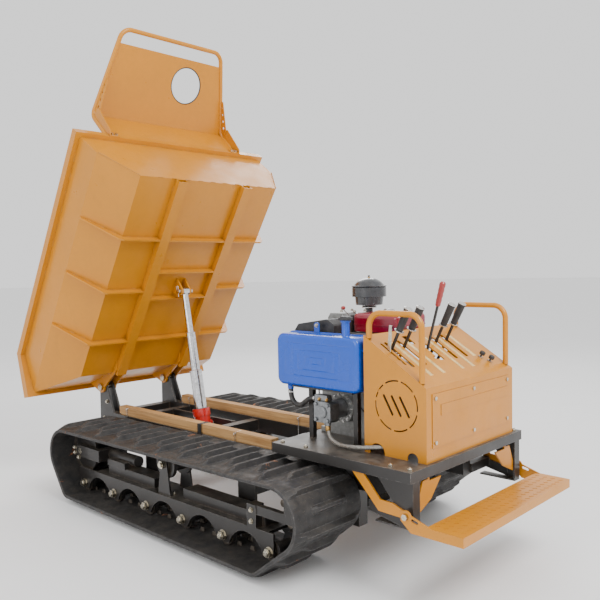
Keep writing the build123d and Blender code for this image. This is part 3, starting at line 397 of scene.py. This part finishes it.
def add_nut(bm, origin, direction, across, height, stud=0.0):
    """Hexagon nut with chamfered corners, a washer under it and a stud through it."""
    r = across / sqrt(3)
    add_lathe(bm, origin, direction, [(r * 1.18, 0), (r * 1.18, height * 0.16)], 24)
    add_lathe(bm, origin, direction, [(r * 0.9, height * 0.16), (r, height * 0.26), (r, height * 0.86),
                                      (r * 0.86, height)], sides=6)
    if stud:
        grooves = [(across * 0.30 - 0.5 * (i % 2), height + stud * i / 8) for i in range(8)]
        add_lathe(bm, origin, direction, grooves + [(across * 0.22, height + stud)], 20)


def add_slab(bm, low_points, high_points):
    """Solid between two outlines with the same number of points."""
    low = [bm.verts.new(p) for p in low_points]
    high = [bm.verts.new(p) for p in high_points]
    bm.faces.new(low)
    bm.faces.new(high[::-1])
    for j in range(len(low)):
        k = (j + 1) % len(low)
        bm.faces.new((low[j], low[k], high[k], high[j]))


def wire(name, points, radius, material, body, closed=False):
    """Round bar or cable along points (metres), as a smooth curve."""
    data = bpy.data.curves.new(name, "CURVE")
    data.dimensions = "3D"
    data.bevel_depth, data.bevel_resolution, data.resolution_u = radius * MM, 5, 10
    data.use_fill_caps = True
    line = data.splines.new("NURBS")
    line.points.add(len(points) - 1)
    for point, at in zip(line.points, points):
        point.co = (*at, 1)
    line.order_u = 3
    line.use_endpoint_u, line.use_cyclic_u = not closed, closed
    made = bpy.data.objects.new(name, data)
    bpy.context.collection.objects.link(made)
    data.materials.append(M[material])
    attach(made, body)
    return made


# --- hoses ----------------------------------------------------------------------------------------
suction_route = [(-500, 300, 742), (-500, 300, 706), (-526, 300, 675), (-566, 300, 672), (-597, 300, 698),
                 (-629, 300, 715), (-663, 300, 715)]
pressure_route = [(-725, 300, 602), (-725, 300, 574), (-751, 309, 545), (-798, 324, 535), (-856, 340, 538),
                  (-921, 347, 545), (-985, 331, 552), (-1026, 303, 555), (-1050, 272, 557)]


def clamp(name, at, direction, radius):
    """Worm-drive hose clamp."""
    bm = bmesh.new()
    add_lathe(bm, at, direction, [(radius + 0.2, -4.5), (radius + 1.1, -4.5), (radius + 1.1, 4.5),
                                  (radius + 0.2, 4.5)], 36)
    side, up, along = axes_of(direction)
    add_lathe(bm, at + up * (radius + 4) * MM - side * 6 * MM, side, [(3.4, 0), (3.4, 12)], 12)
    add_lathe(bm, at + up * (radius + 4) * MM + side * 6 * MM, side, [(3.0, 0), (3.0, 4)], sides=6)
    return finish_piece(from_bmesh(name, bm), "machine", "steel", bevel=0.3)


for name, route, diameter, length, material in (
        ("suction_hose", suction_route, 0.024, 0.221, "hose_black"),
        ("pressure_hose", pressure_route, 0.018, 0.396, "hose_braid")):
    hose = wire(name + "_line", [mm(*p) for p in route], diameter * 500, material, "machine")
    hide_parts(name)
    start, end = mm(*route[0]), mm(*route[-1])
    out, back = mm(*route[1]) - start, mm(*route[-2]) - end
    clamps = []
    if name == "suction_hose":
        clamps = [clamp("suction_clamp_top", start + out.normalized() * 0.012, out, 12),
                  clamp("suction_clamp_end", end + back.normalized() * 0.012, back, 12)]
    else:
        ferrule = [(10.5, 0), (12, 2), (12, 9), (10.8, 10), (12, 11), (12, 20), (10, 26), (9.2, 26)]
        for i, (at, way) in enumerate(((start, out), (end, back))):
            clamps.append(lathe(f"pressure_ferrule_{i + 1}", at, way, ferrule,
                                "brass" if i == 0 else "steel", "machine", 0.3))

# --- CAD nodes: materials and soft edges -------------------------------------------------------
edge_width = {"skip_tub": 2.5, "skip_rim": 2.0, "bed_rest_beams": 2.0, "headboard": 0.8, "step_platform": 0.8,
              "hydraulic_tank": 0.8, "console_cover": 0.8, "console_body": 1.2, "engine_deck": 1.2,
              "rubber_track_left": 1.5, "rubber_track_right": 1.5, "chassis_frame": 1.5, "track_frames": 1.5,
              "engine_block": 1.5, "gear_pump": 1.0, "grab_rails": 0.0}
for name, node in nodes.items():
    node.data.materials.clear()
    node.data.materials.append(M[slots[name]])
    for polygon in node.data.polygons:
        polygon.use_smooth = True
    node.data.set_sharp_from_angle(angle=radians(32))
    width = edge_width.get(name, 0.7)
    if width:
        soft = node.modifiers.new("soft_edges", "BEVEL")
        soft.width, soft.segments, soft.limit_method = width * MM, 2, "ANGLE"
        soft.angle_limit, soft.harden_normals = radians(38), True


# --- rubber belts -------------------------------------------------------------------------------
def belt_path(extra):
    """The taut loop round the wheels, grown by extra, as points in x and z."""
    cloud = []
    sprocket, idler = (-755, 290, 128), (929, 268, 126)
    front_roller, rear_roller = (892, 92, 50), (-628, 92, 50)
    for x, z, r in (sprocket, idler, front_roller, rear_roller):
        for a in range(720):
            cloud.append((x + (r + extra) * cos(a / 360 * pi), z + (r + extra) * sin(a / 360 * pi)))
    cloud = sorted(set(cloud))
    hull = []
    for sweep in (cloud, cloud[::-1]):
        part = []
        for p in sweep:
            while len(part) > 1 and ((part[-1][0] - part[-2][0]) * (p[1] - part[-2][1])
                                     - (part[-1][1] - part[-2][1]) * (p[0] - part[-2][0])) <= 0:
                part.pop()
            part.append(p)
        hull += part[:-1]
    return hull


def resample(loop, count):
    """Evenly spaced (point, outward) pairs round a loop."""
    lengths = [0]
    closed = loop + loop[:1]
    for a, b in zip(closed, closed[1:]):
        lengths.append(lengths[-1] + hypot(b[0] - a[0], b[1] - a[1]))
    out, k = [], 0
    for i in range(count):
        want = lengths[-1] * i / count
        while lengths[k + 1] < want:
            k += 1
        t = (want - lengths[k]) / (lengths[k + 1] - lengths[k])
        a, b = closed[k], closed[k + 1]
        tangent = Vector((b[0] - a[0], b[1] - a[1])).normalized()
        out.append((Vector((a[0] + (b[0] - a[0]) * t, a[1] + (b[1] - a[1]) * t)),
                    Vector((tangent[1], -tangent[0]))))
    return out


LUGS, STEPS, PITCH = 48, 16, 102          # lugs round the belt, steps and millimetres along one lug
BELT_SKIN, BELT_HALF, TREAD_MAX = 17, 205, 24.9
outer_path = resample(belt_path(BELT_SKIN), LUGS * STEPS)
smooth_path = []
for i in range(len(outer_path)):
    out = sum((outer_path[(i + k) % len(outer_path)][1] for k in range(-2, 3)), Vector((0, 0))).normalized()
    smooth_path.append((outer_path[i][0], out))
# distances from the belt's middle at which the tread is drawn
section_outer = [-205, -203, -198, -186, -170, -150, -128, -104, -80, -56, -30, 0,
                 30, 56, 80, 104, 128, 150, 170, 186, 198, 203, 205]


def lug_height(step, across):
    """Height of the tread above the belt's skin at a step of the loop and a place across it."""
    wide = (step // STEPS) % 2 == 0               # wide and narrow lugs take turns
    half_crest, half_root = (137, 195) if wide else (74, 112)
    off = abs((step % STEPS) / STEPS * PITCH - PITCH / 2)
    reach = max(0.0, min(1.0, (half_root - abs(across)) / (half_root - half_crest)))
    width = 8 + 10 * (1 - reach)
    rise = max(0.0, min(1.0, (width + 9 - off) / 9))
    main = 25 * reach ** 0.8 * rise
    rib = 3.0 if 150 < abs(across) < 192 and off > 30 else 0.0
    return max(main, rib)


for side, word in ((1, "left"), (-1, "right")):
    bm = bmesh.new()
    rows = []
    for i, (at, out) in enumerate(smooth_path):
        row = []
        for across in section_outer:
            edge = 5.0 if abs(across) == BELT_HALF else 1.5 if abs(across) == 203 else 0.0
            h = lug_height(i, across) - edge
            h += 0.6 * noise.noise(Vector((at[0], across, at[1])) * 0.03) if abs(across) < 200 else 0
            p = at + out * min(h, TREAD_MAX)
            row.append(bm.verts.new(mm(p[0], side * (TRACK_Y + across), p[1])))
        for across in (205, 201, 60, -60, -201, -205):
            p = at - out * (12.5 if abs(across) == BELT_HALF else 16.9)
            row.append(bm.verts.new(mm(p[0], side * (TRACK_Y + across), p[1])))
        rows.append(row)
    for a, b in zip(rows, rows[1:] + rows[:1]):
        for j in range(len(a)):
            k = (j + 1) % len(a)
            bm.faces.new((a[j], b[j], b[k], a[k]))
    belt = from_bmesh(f"belt_{word}", bm)
    finish_piece(belt, "machine", "track_rubber", angle=28)
    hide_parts(f"rubber_track_{word}")
    # steel guide teeth on the inner side, two rows clear of the hubs
    bm = bmesh.new()
    for at, out in resample(belt_path(0.2), LUGS * 2)[::2]:
        tangent = Vector((-out[1], out[0]))
        for row in (-34, 34):
            corners = []
            for along, high in ((-15, 0), (15, 0), (9, 20), (-9, 20)):
                p = at - out * high + tangent * along
                corners.append(mm(p[0], side * TRACK_Y + row - 4, p[1]))
            add_slab(bm, corners, [c + mm(0, 8, 0) for c in corners])
    finish_piece(from_bmesh(f"guide_teeth_{word}", bm), "machine", "sprocket_iron", bevel=1.5)


# --- welds on the skip and headboard -----------------------------------------------------------
def add_bead(bm, start, end, radius):
    """Rippled weld bead from start to end."""
    length = (end - start).length / MM
    count = max(3, int(length / 3.2))
    profile = [(radius * (0.35 if i in (0, count) else 0.86 + 0.14 * cos(i * 2.4)), length * i / count)
               for i in range(count + 1)]
    add_lathe(bm, start, end - start, profile, 8)


def stitch(bm, start, end, radius, on, pitch):
    """Short beads at a regular pitch along a seam."""
    run = end - start
    count = int(run.length / MM / pitch)
    for i in range(count):
        first = start + run.normalized() * MM * (pitch * (i + 0.5) - on / 2)
        add_bead(bm, first, first + run.normalized() * MM * on, radius)


def wall_y(w):
    """Half width of the skip's outside at a height above its hinge."""
    return 634 + (w - 157) * 19 / 218 if w > 157 else 493 + (w + 63) * 141 / 220


FLOOR_W, RIM_W = -63.5, 329.5       # undersides of the skip's floor and of its folded rim
bm = bmesh.new()
for side in (-1, 1):
    for u in (1108, 767, 413):
        for edge in (-5.5, 5.5):
            stitch(bm, bed(u + edge, side * 275, FLOOR_W), bed(u + edge, side * 490, FLOOR_W), 2.6, 34, 70)
            stitch(bm, bed(u + edge, side * 500, -53), bed(u + edge, side * 628, 148), 2.6, 34, 75)
    for edge in (-32.5, 32.5):
        y = side * RAIL_Y + edge
        stitch(bm, bed(165, y, FLOOR_W), bed(1468, y, FLOOR_W), 3.0, 40, 118)
    y = side * (wall_y(330) + 0.5)
    stitch(bm, bed(70, y, RIM_W), bed(1490, y, RIM_W), 3.2, 42, 104)
    add_bead(bm, bed(1474, side * 494, -62), bed(1490, side * 633, 157), 2.5)
stitch(bm, bed(1495.5, -640, RIM_W), bed(1495.5, 640, RIM_W), 3.2, 42, 104)
stitch(bm, bed(1474, -488, -63), bed(1474, 488, -63), 2.8, 36, 90)
for side in (-1, 1):
    stitch(bm, bed(1556, side * 465, 558), bed(1950, side * 378, 647), 2.4, 26, 62)
    stitch(bm, bed(1530, side * 466, 380), bed(1546, side * 466, 548), 2.4, 26, 60)
finish_piece(from_bmesh("skip_welds", bm), "skip", "weld")

# --- nuts and studs -----------------------------------------------------------------------------
bm = bmesh.new()
for side in (-1, 1):
    outward = (0, side, 0)
    for x in [892 - 304 * i for i in range(6)]:                                 # road roller axles
        hub = mm(x, side * (TRACK_Y + 85), 92)
        add_lathe(bm, hub + mm(0, side * 18, 0), outward, [(13.5, 0), (13.5, 5), (11, 7)], 28)
        add_lathe(bm, hub + mm(0, side * 0.3, 0), outward, [(24, 0), (24, 3)], 32)
    for x, z in ((979, 283), (937, 232), (979, 253)):                           # idler fork
        add_nut(bm, mm(x, side * 587, z), outward, 20, 11, 5)
    for x in (-70, 70):                                                         # carrier bracket
        add_nut(bm, mm(142 + x * 0.5, side * 530, 175), (0, 0, 1), 16, 9, 4)
    for z in (200, 250):                                                        # sprocket pedestal
        add_nut(bm, mm(-517, side * 580, z), outward, 17, 9, 3)
    for x, z in ((1062, 372), (1112, 372), (1190, 372), (1150, 480)):           # hinge brackets
        add_nut(bm, mm(x, side * 266, z), outward, 19, 10, 4)
for x in (-1240, -1150, -700, -560):
    for y in (-420, 420):
        add_nut(bm, mm(x, y, DECK_Z), (0, 0, 1), 17, 8, 4)
for x in (-860, -580):
    for y in (-160, 130):
        add_nut(bm, mm(x, y, FEET_Z), (0, 0, 1), 20, 12, 8)                     # engine feet
for x, y in ((-640, -80), (-560, -80), (-640, 0), (-560, 0)):
    add_nut(bm, mm(x, y, 1082), (0, 0, 1), 13, 8, 3)                            # engine's head cover
add_nut(bm, mm(-621, 250, 1036), (0, 1, 0), 14, 7, 5)                           # oil tank's tab
finish_piece(from_bmesh("chassis_nuts", bm), "machine", "zinc", bevel=0.4)


# --- timber ties and strap ---------------------------------------------------------------------
def tie_round_beam(name, x, y):
    """Wire drawn round a timber and the rail under it, let into the timber's top below the lowered skip."""
    corner, half, low, high = 7, 32.5, 333, 466.9
    outline = [(-half, low + corner), (-half, high - corner), (-half + corner, high), (half - corner, high),
               (half, high - corner), (half, low + corner), (half - corner, low), (-half + corner, low)]
    points = [mm(x + 6 * (i % 3 - 1) * 0.6, y + p[0], p[1]) for i, p in enumerate(outline)]
    return wire(name, points, 1.9, "steel", "machine", closed=True)


for i, (x, y) in enumerate(((927, RAIL_Y), (-63, RAIL_Y), (930, -RAIL_Y), (-60, -RAIL_Y))):
    tie_round_beam(f"tie_{i + 1}", x, y)
    twist = [mm(x, y + 33, 465), mm(x + 5, y + 38, 462), mm(x - 3, y + 41, 455), mm(x + 3, y + 39, 447)]
    wire(f"tie_twist_{i + 1}", twist, 1.9, "steel", "machine")
bm = bmesh.new()
inside = [(-31.5, 333.5), (-31.5, 467.4), (31.5, 467.4), (31.5, 333.5)]
outside = [(-33.3, 332), (-33.3, 468.8), (33.3, 468.8), (33.3, 332)]
for a, b in ((0, 1), (1, 2), (2, 3)):
    quad = [inside[a], inside[b], outside[b], outside[a]]
    add_slab(bm, [mm(214, RAIL_Y + y, z) for y, z in quad], [mm(244, RAIL_Y + y, z) for y, z in quad])
finish_piece(from_bmesh("beam_strap", bm), "machine", "seal", bevel=0.4)


# --- oil tank: pressed sides with horizontal ribs -------------------------------------------------
def rounded(cx, cz, hx, hz, r):
    """Rounded rectangle as points in a plane, from its middle, half sides and corner radius."""
    out = []
    for qx, qz, start in ((1, 1, 0), (-1, 1, 90), (-1, -1, 180), (1, -1, 270)):
        for i in range(9):
            a = radians(start + 90 * i / 8)
            out.append((cx + qx * (hx - r) + r * cos(a), cz + qz * (hz - r) + r * sin(a)))
    return out


def add_shell(bm, rings, close=True):
    """Skin over rings with the same number of points, with both ends filled if close."""
    made = [[bm.verts.new(p) for p in ring] for ring in rings]
    count = len(made[0])
    for a, b in zip(made, made[1:]):
        for i in range(count):
            bm.faces.new((a[i], a[(i + 1) % count], b[(i + 1) % count], b[i]))
    if close:
        bm.faces.new(made[0][::-1])
        bm.faces.new(made[-1])


tank_cx, tank_cz, tank_hx, tank_hz = -680.5, 882, 240.5, 118
FACE_Y, FACE_RINGS, RIB_PITCH = 329.8, 40, 29


def press(x, z, reach):
    """How far the tank's face stands out: flat ribs between shallow grooves, fading at the sides."""
    fade = max(0.0, min(1.0, (tank_hx - 34 - abs(x - tank_cx)) / 18)) * max(0.0, min(1.0, reach))
    wave = abs(((z - 770) % RIB_PITCH) / RIB_PITCH - 0.5) * 2
    groove = max(0.0, 1 - wave * 5.5)
    return -2.2 * groove * fade * (1.0 if 785 < z < 985 else 0.0)


bm = bmesh.new()
rings = []
for y, inset in ((246, 1.0), (246.5, 0), (250, 0), (314, 0), (320, 1.5), (325, 4.5), (328.2, 8.5),
                 (329.6, 13)):
    outline = rounded(tank_cx, tank_cz, tank_hx - inset, tank_hz - inset, 34 - inset * 0.6)
    rings.append([mm(x, y, z) for x, z in outline])
add_shell(bm, rings, close=False)
# the face: shrinking copies of the last ring, closed by a fan of triangles
face_ring = rounded(tank_cx, tank_cz, tank_hx - 13, tank_hz - 13, 26)
count = len(face_ring)
previous = list(bm.verts)[-count:]
for k in range(1, FACE_RINGS):
    s = 1 - k / FACE_RINGS
    ring = []
    for x, z in face_ring:
        px, pz = tank_cx + (x - tank_cx) * s, tank_cz + (z - tank_cz) * s
        ring.append(bm.verts.new(mm(px, FACE_Y + press(px, pz, k / 2), pz)))
    for i in range(count):
        j = (i + 1) % count
        bm.faces.new((previous[i], previous[j], ring[j], ring[i]))
    previous = ring
centre = bm.verts.new(mm(tank_cx, FACE_Y + press(tank_cx, tank_cz, 1), tank_cz))
for i in range(count):
    bm.faces.new((previous[i], previous[(i + 1) % count], centre))
bm.faces.new(list(bm.verts)[:count])
# flange, filler neck, outlet and the tab that is bolted to the stand
add_shell(bm, [[mm(x, y, z) for x, z in rounded(tank_cx, tank_cz, tank_hx + 8 - g, tank_hz + 6 - g, 38)]
               for y, g in ((242, 0.5), (242.6, 0), (245.6, 0), (246.2, 0.5))])
add_lathe(bm, mm(TANK_CAP_X, TANK_CAP_Y, 994), (0, 0, 1),
          [(24, 0), (22, 4), (18, 7), (17, 12), (17, 66), (22, 68), (22, 75.5), (19, 76)], 40)
add_lathe(bm, mm(*suction_route[0]), (0, 0, 1), [(12, 0), (14, 1), (14, 20), (17, 24)], 32)
tab = [mm(x, 246, z) for x, z in ((-636, 996), (-636, 1042), (-628, 1050), (-614, 1050), (-606, 1042),
                                  (-606, 996))]
add_slab(bm, tab, [p + mm(0, 4, 0) for p in tab])
tank = finish_piece(from_bmesh("oil_tank_shell", bm), "machine", "tank_blue", angle=50)
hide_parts("hydraulic_tank")
vent_route = [mm(-918, 292, 946), mm(-930, 292, 946), mm(-936, 292, 944), mm(-937, 293, 936),
              mm(-937, 294, 914)]
wire("tank_vent_pipe", vent_route, 6, "tank_blue", "machine")
lathe("tank_vent_end", vent_route[-1], (0, 0, -1), [(8, 0), (8, 9), (5, 10), (5, 16)],
      "brass", "machine", 0.3)
bm = bmesh.new()
add_lathe(bm, mm(TANK_CAP_X, TANK_CAP_Y, 1070.3), (0, 0, 1),
          [(27, 0), (31, 2), (31, 10), (29, 12), (25, 13.5), (23, 17.6), (0, 17.6)], 48)
for i in range(24):
    a = 2 * pi * i / 24
    add_lathe(bm, mm(TANK_CAP_X + 30.4 * cos(a), TANK_CAP_Y + 30.4 * sin(a), 1072), (0, 0, 1),
              [(1.6, 0), (1.6, 9), (1, 10)], 6)
cap = finish_piece(from_bmesh("oil_cap_knurled", bm), "tank_cap", "black_plastic", angle=40)
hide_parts("tank_cap")

# --- engine details --------------------------------------------------------------------------------
bm = bmesh.new()
add_shell(bm, [[mm(x, y, z) for x, y in rounded(-788.5, -75, 138.5 - g, 117 - g, 32)]
               for z, g in ((1026, 1), (1026.6, 0), (1030.4, 0), (1031, 1))])
finish_piece(from_bmesh("fuel_tank_seam", bm), "machine", "engine_red", angle=50)
lathe("fuel_cap", mm(-800, -60, 1091), (0, 0, 1),
      [(25, 0), (27, 1), (27, 4), (22, 6), (21, 9), (8, 10.5), (0, 10.5)], "ram_chrome", "machine")
bm = bmesh.new()
for i in range(14):
    a = 2 * pi * i / 14
    add_nut(bm, mm(PUMP_X + 60 * cos(a), 200, PUMP_Z + 60 * sin(a)), (0, 1, 0), 11, 6, 2)
for x, z in ((-860, 600), (-600, 600), (-600, 780), (-850, 780), (-860, 690), (-590, 690)):
    add_nut(bm, mm(x, 200, z), (0, 1, 0), 13, 7, 2)
finish_piece(from_bmesh("engine_bolts", bm), "machine", "steel", bevel=0.3)
wire("fuel_line_1", [mm(-640, 60, 990), mm(-652, 92, 1010), mm(-700, 130, 1000), mm(-740, 160, 900),
                     mm(-742, 178, 780), mm(-742, 196, 745)], 3, "steel", "machine")
wire("fuel_line_2", [mm(-560, 20, 1040), mm(-540, 60, 1050), mm(-545, 120, 1010), mm(-560, 168, 880),
                     mm(-570, 190, 760), mm(-590, 202, 700)], 3.4, "seal", "machine")
wire("throttle_cable", [mm(-1000, 190, 660), mm(-950, 205, 640), mm(-880, 208, 646), mm(-820, 206, 690),
                        mm(-790, 203, 720)], 3, "seal", "machine")
wire("stop_lever", [mm(-653, 60, 1076), mm(-655, 84, 1086), mm(-654, 98, 1104)], 2.4, "steel", "machine")
lathe("stop_knob", mm(-654, 98, 1100), (0, 0.2, 1), [(4, 0), (9, 3), (11, 8), (9.5, 14), (4, 18), (0, 18.5)],
      "grip_red", "machine")
bands = ((1096, (36, 37, 37, 36)), (1146, (60, 66, 70, 66)), (1200, (85, 85.6, 85.6, 80)))
for i, (z, r) in enumerate(bands):
    lathe(f"filter_band_{i + 1}", mm(-628, -130, z), (0, 0, 1), [(r[0], 0), (r[1], 1), (r[2], 5), (r[3], 6)],
          "steel" if i == 0 else "filter_black", "machine")
lathe("filter_nut", mm(-628, -130, 1243), (0, 0, 1), [(7, 0), (7, 4), (4, 5), (3.6, 13), (0, 13.5)],
      "brass", "machine")
bm = bmesh.new()
for i in range(7):
    add_lathe(bm, mm(-664 + 30 * i, -129.5, 1000), (0.25, 0, 1), [(5, 0), (5.6, 2), (5.6, 34), (5, 36)], 12)
finish_piece(from_bmesh("cowl_louvres", bm), "machine", "seal")
# recoil starter on the engine's right side
STARTER_X, STARTER_Z = -720, 700
bm = bmesh.new()
add_lathe(bm, mm(STARTER_X, -304, STARTER_Z), (0, -1, 0),
          [(62, 0), (66, 2), (66, 8), (58, 14), (22, 17), (0, 17)], 48)
for i in range(12):
    a = 2 * pi * i / 12
    at = mm(STARTER_X + 98 * cos(a), -289, STARTER_Z + 98 * sin(a))
    add_lathe(bm, at, (0, -1, 0), [(11, 0), (11, 2), (8, 3.5)], 16)
finish_piece(from_bmesh("recoil_cover", bm), "machine", "black_plastic", bevel=0.4)

# --- pump -------------------------------------------------------------------------------------------
bm = bmesh.new()
add_lathe(bm, mm(PUMP_X, 330, PUMP_Z), (0, 1, 0), [(27, 0), (27, 3), (22, 6), (21, 8), (0, 8)], 40)
for dx in (-34, 34):
    for dz in (-34, 34):
        add_lathe(bm, mm(PUMP_X + dx, 338, PUMP_Z + dz), (0, 1, 0), [(6, 0), (4.4, 1.5), (0, 1.6)], 6)
finish_piece(from_bmesh("pump_end", bm), "machine", "pump_alloy", bevel=0.4)
bm = bmesh.new()
for dx in (-21.6, 21.6):
    add_nut(bm, mm(-712 + dx, 316, 718), (0, 1, 0), 11, 7, 3)
finish_piece(from_bmesh("pump_screws", bm), "machine", "brass", bevel=0.3)

# --- levers, knobs and the sloping panel ----------------------------------------------------------
slope = Vector((306, 0, 192)).normalized()
normal = Vector((-192, 0, 306)).normalized()
panel_middle = Vector((-1094, 0, 918))
SHAFT_DEPTH, GEAR_Y = 150, 10


def on_panel(along, y, lift=0.0):
    """A point of the sloping panel, from its place along the slope and across, lifted off by lift."""
    return (panel_middle + slope * along + normal * lift) * MM + mm(0, y, 0)


way = (normal - slope * 0.15 + Vector((0, 0, 0.55))).normalized()
for word, y in (("outer_left", 238), ("inner_left", 150), ("inner_right", -96), ("outer_right", -182)):
    at, body = on_panel(60, y, -SHAFT_DEPTH), f"lever_{word}"
    rod = lathe(f"lever_rod_{word}", at, way, [(6.5, 0), (7, 1), (7, 238)], "dark_frame", body, 0.3)
    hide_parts(f"lever_{word}")
    lathe(f"lever_hub_{word}", at - mm(0, 12, 0), (0, 1, 0), [(15, 0), (15, 24)], "steel", body, 0.6)
    lathe(f"lever_disc_{word}", at, way,
          [(7.2, 228), (14, 229), (20, 231), (21, 233), (21, 236), (18, 237), (8, 237)], "steel", body, 0.3)
    ribs = [(14.5 + 2.6 * i / 20 + (0.55 if i % 2 else -0.35), 237.5 + 4.9 * i) for i in range(21)]
    lathe(f"lever_grip_{word}", at, way, ribs, "grip_black", body)
    lathe(f"lever_cap_{word}", at, way, [(17.2, 335.6), (18.2, 336.5), (18.2, 339), (13, 342), (0, 342.8)],
          "steel", body)
at = on_panel(0, GEAR_Y, -SHAFT_DEPTH)
gear_way = Vector((-0.28, 0, 1)).normalized()
gear = lathe("gear_rod", at, gear_way, [(6, 0), (6, 348)], "dark_frame", "gear_lever", 0.3)
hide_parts("gear_lever")
lathe("gear_hub", at - mm(0, 12, 0), (0, 1, 0), [(15, 0), (15, 24)], "steel", "gear_lever", 0.6)
grip = [(8, 345), (10.5, 347), (11, 352), (11.4, 362), (12.6, 372), (11.4, 382), (13, 393),
        (11.8, 404), (13.4, 416), (12.4, 427), (14, 438), (13.2, 448), (8, 454), (0, 455)]
lathe("gear_grip", at, gear_way, grip, "grip_red", "gear_lever")
for word, along, y in (("upper", -75, -262), ("lower", -112, -288)):
    at = on_panel(along, y)
    knob = lathe(f"knob_{word}", at, normal,
                 [(4, -50), (4, 13.5), (8, 14), (12.6, 16), (13, 18), (13, 27), (11.5, 29.6), (0, 30)],
                 "grip_black", f"pull_knob_{word}")
    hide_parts(f"pull_knob_{word}")
    lathe(f"knob_nut_{word}", at, normal, [(9.5, 0.3), (9.5, 5), (6, 6), (5, 6)], "steel", "machine", 0.3)

# blank label strips between the slots, with a printed line along each long edge
strips, lines = bmesh.new(), bmesh.new()
for y, half, low, high in ((194, 12, -120, 110), (100, 11, -120, 110), (-52, 10, -120, 110),
                           (-139, 12, -120, 110), (-236, 13, -60, 110)):
    outline = [(low, -half), (high, -half), (high, half), (low, half)]
    base, top = ([strips.verts.new(on_panel(along, y + across, lift)) for along, across in outline]
                 for lift in (0.05, 0.8))
    strips.faces.new(top)
    for j in range(4):
        strips.faces.new((base[j], base[(j + 1) % 4], top[(j + 1) % 4], top[j]))
    for first, last, across in ((low + 3, high - 3, 3 - half), (high - 3, low + 3, half - 3)):
        line = [(first, across - 0.6), (last, across - 0.6), (last, across + 0.6), (first, across + 0.6)]
        lines.faces.new([lines.verts.new(on_panel(p[0], y + p[1], 1.0)) for p in line])
finish_piece(from_bmesh("panel_strips", strips), "machine", "label")
finish_piece(from_bmesh("panel_strip_lines", lines), "machine", "seal")

# --- dark ring round the headboard's window --------------------------------------------------------
WINDOW_RING_R = 109
ring_points = []
for i in range(32):
    up, across = WINDOW_RING_R * cos(2 * pi * i / 32), WINDOW_RING_R * sin(2 * pi * i / 32)
    ring_points.append(bed(1807 + up * 0.9755, -130 + across, 619.2 + up * 0.2199))
wire("window_dark_ring", ring_points, 3.6, "seal", "skip", closed=True)

# --- ram: wipers, gland nuts, pin clip --------------------------------------------------------------
ram_axis = Vector((0.182689, 0, 0.983171))
trunnion = mm(533, 0, 380)
# closed, each stage stands only 4.8 mm proud of the next, so gland and wiper share that height
for word, top, r in (("outer", 320.5, 36), ("middle", 549.0, 27)):
    at, body = trunnion + ram_axis * (top - 3.0) * MM, f"ram_stage_{word}"
    gland = [(r + 0.1, 0), (r + 2.4, 0.3), (r + 2.4, 2.4), (r + 1, 3.2), (r - 2, 3.4), (r - 2, 3.1),
             (r + 0.1, 3.0)]
    lathe(f"ram_gland_{word}", at, ram_axis, gland, "steel", body, ring=True)
    lathe(f"ram_wiper_{word}", at + ram_axis * 3.1 * MM, ram_axis,
          [(r - 7.6, 0), (r - 2.6, 0), (r - 3.4, 1.0), (r - 7.6, 1.2)], "ram_red", body, ring=True)
lathe("ram_wiper_barrel", trunnion + ram_axis * 92.1 * MM, ram_axis,
      [(37, 0), (45, 0), (44, 1.2), (36.8, 1.4)], "seal", "ram_barrel", ring=True)
wire("pin_clip", [bed(783, 47, -128), bed(783, 49, -118), bed(790, 49, -104), bed(806, 49, -100),
                  bed(812, 49, -110), bed(800, 49, -122), bed(770, 49, -140), bed(758, 49, -150)],
     2.0, "steel", "skip")

# --- floor, light -------------------------------------------------------------------------------
bm = bmesh.new()
add_lathe(bm, Vector((0, 0, -0.02)), (0, 0, 1), [(60000, 0), (60000, 20)], 96)
floor = from_bmesh("floor", bm)
pale = Nodes("floor_pale")
pale_tone = pale.mix(pale.noise(2, 3), (0.86, 0.86, 0.86), (0.90, 0.90, 0.90))
floor.data.materials.append(pale.done(pale_tone, 0.75))

world = bpy.data.worlds.new("studio")
world.use_nodes = True
world.node_tree.nodes["Background"].inputs["Color"].default_value = (1.0, 1.0, 1.0, 1)
world.node_tree.nodes["Background"].inputs["Strength"].default_value = 1.25
bpy.context.scene.world = world


def lamp(name, at, target, size, watts):
    """Soft round studio lamp that looks at the target."""
    data = bpy.data.lights.new(name, "AREA")
    data.shape, data.size, data.energy = "DISK", size, watts
    made = bpy.data.objects.new(name, data)
    made.location = at
    made.rotation_mode = "QUATERNION"
    made.rotation_quaternion = (Vector(target) - Vector(at)).to_track_quat("-Z", "Y")
    bpy.context.collection.objects.link(made)


lamp("key", (-4.5, 0.5, 5.5), (0, 0, 0.8), 3.0, 300)
lamp("fill", (-0.5, 6.0, 3.0), (0, 0, 0.9), 4.0, 110)
lamp("rim", (3.5, -4.5, 4.5), (0, 0, 1.2), 3.0, 130)
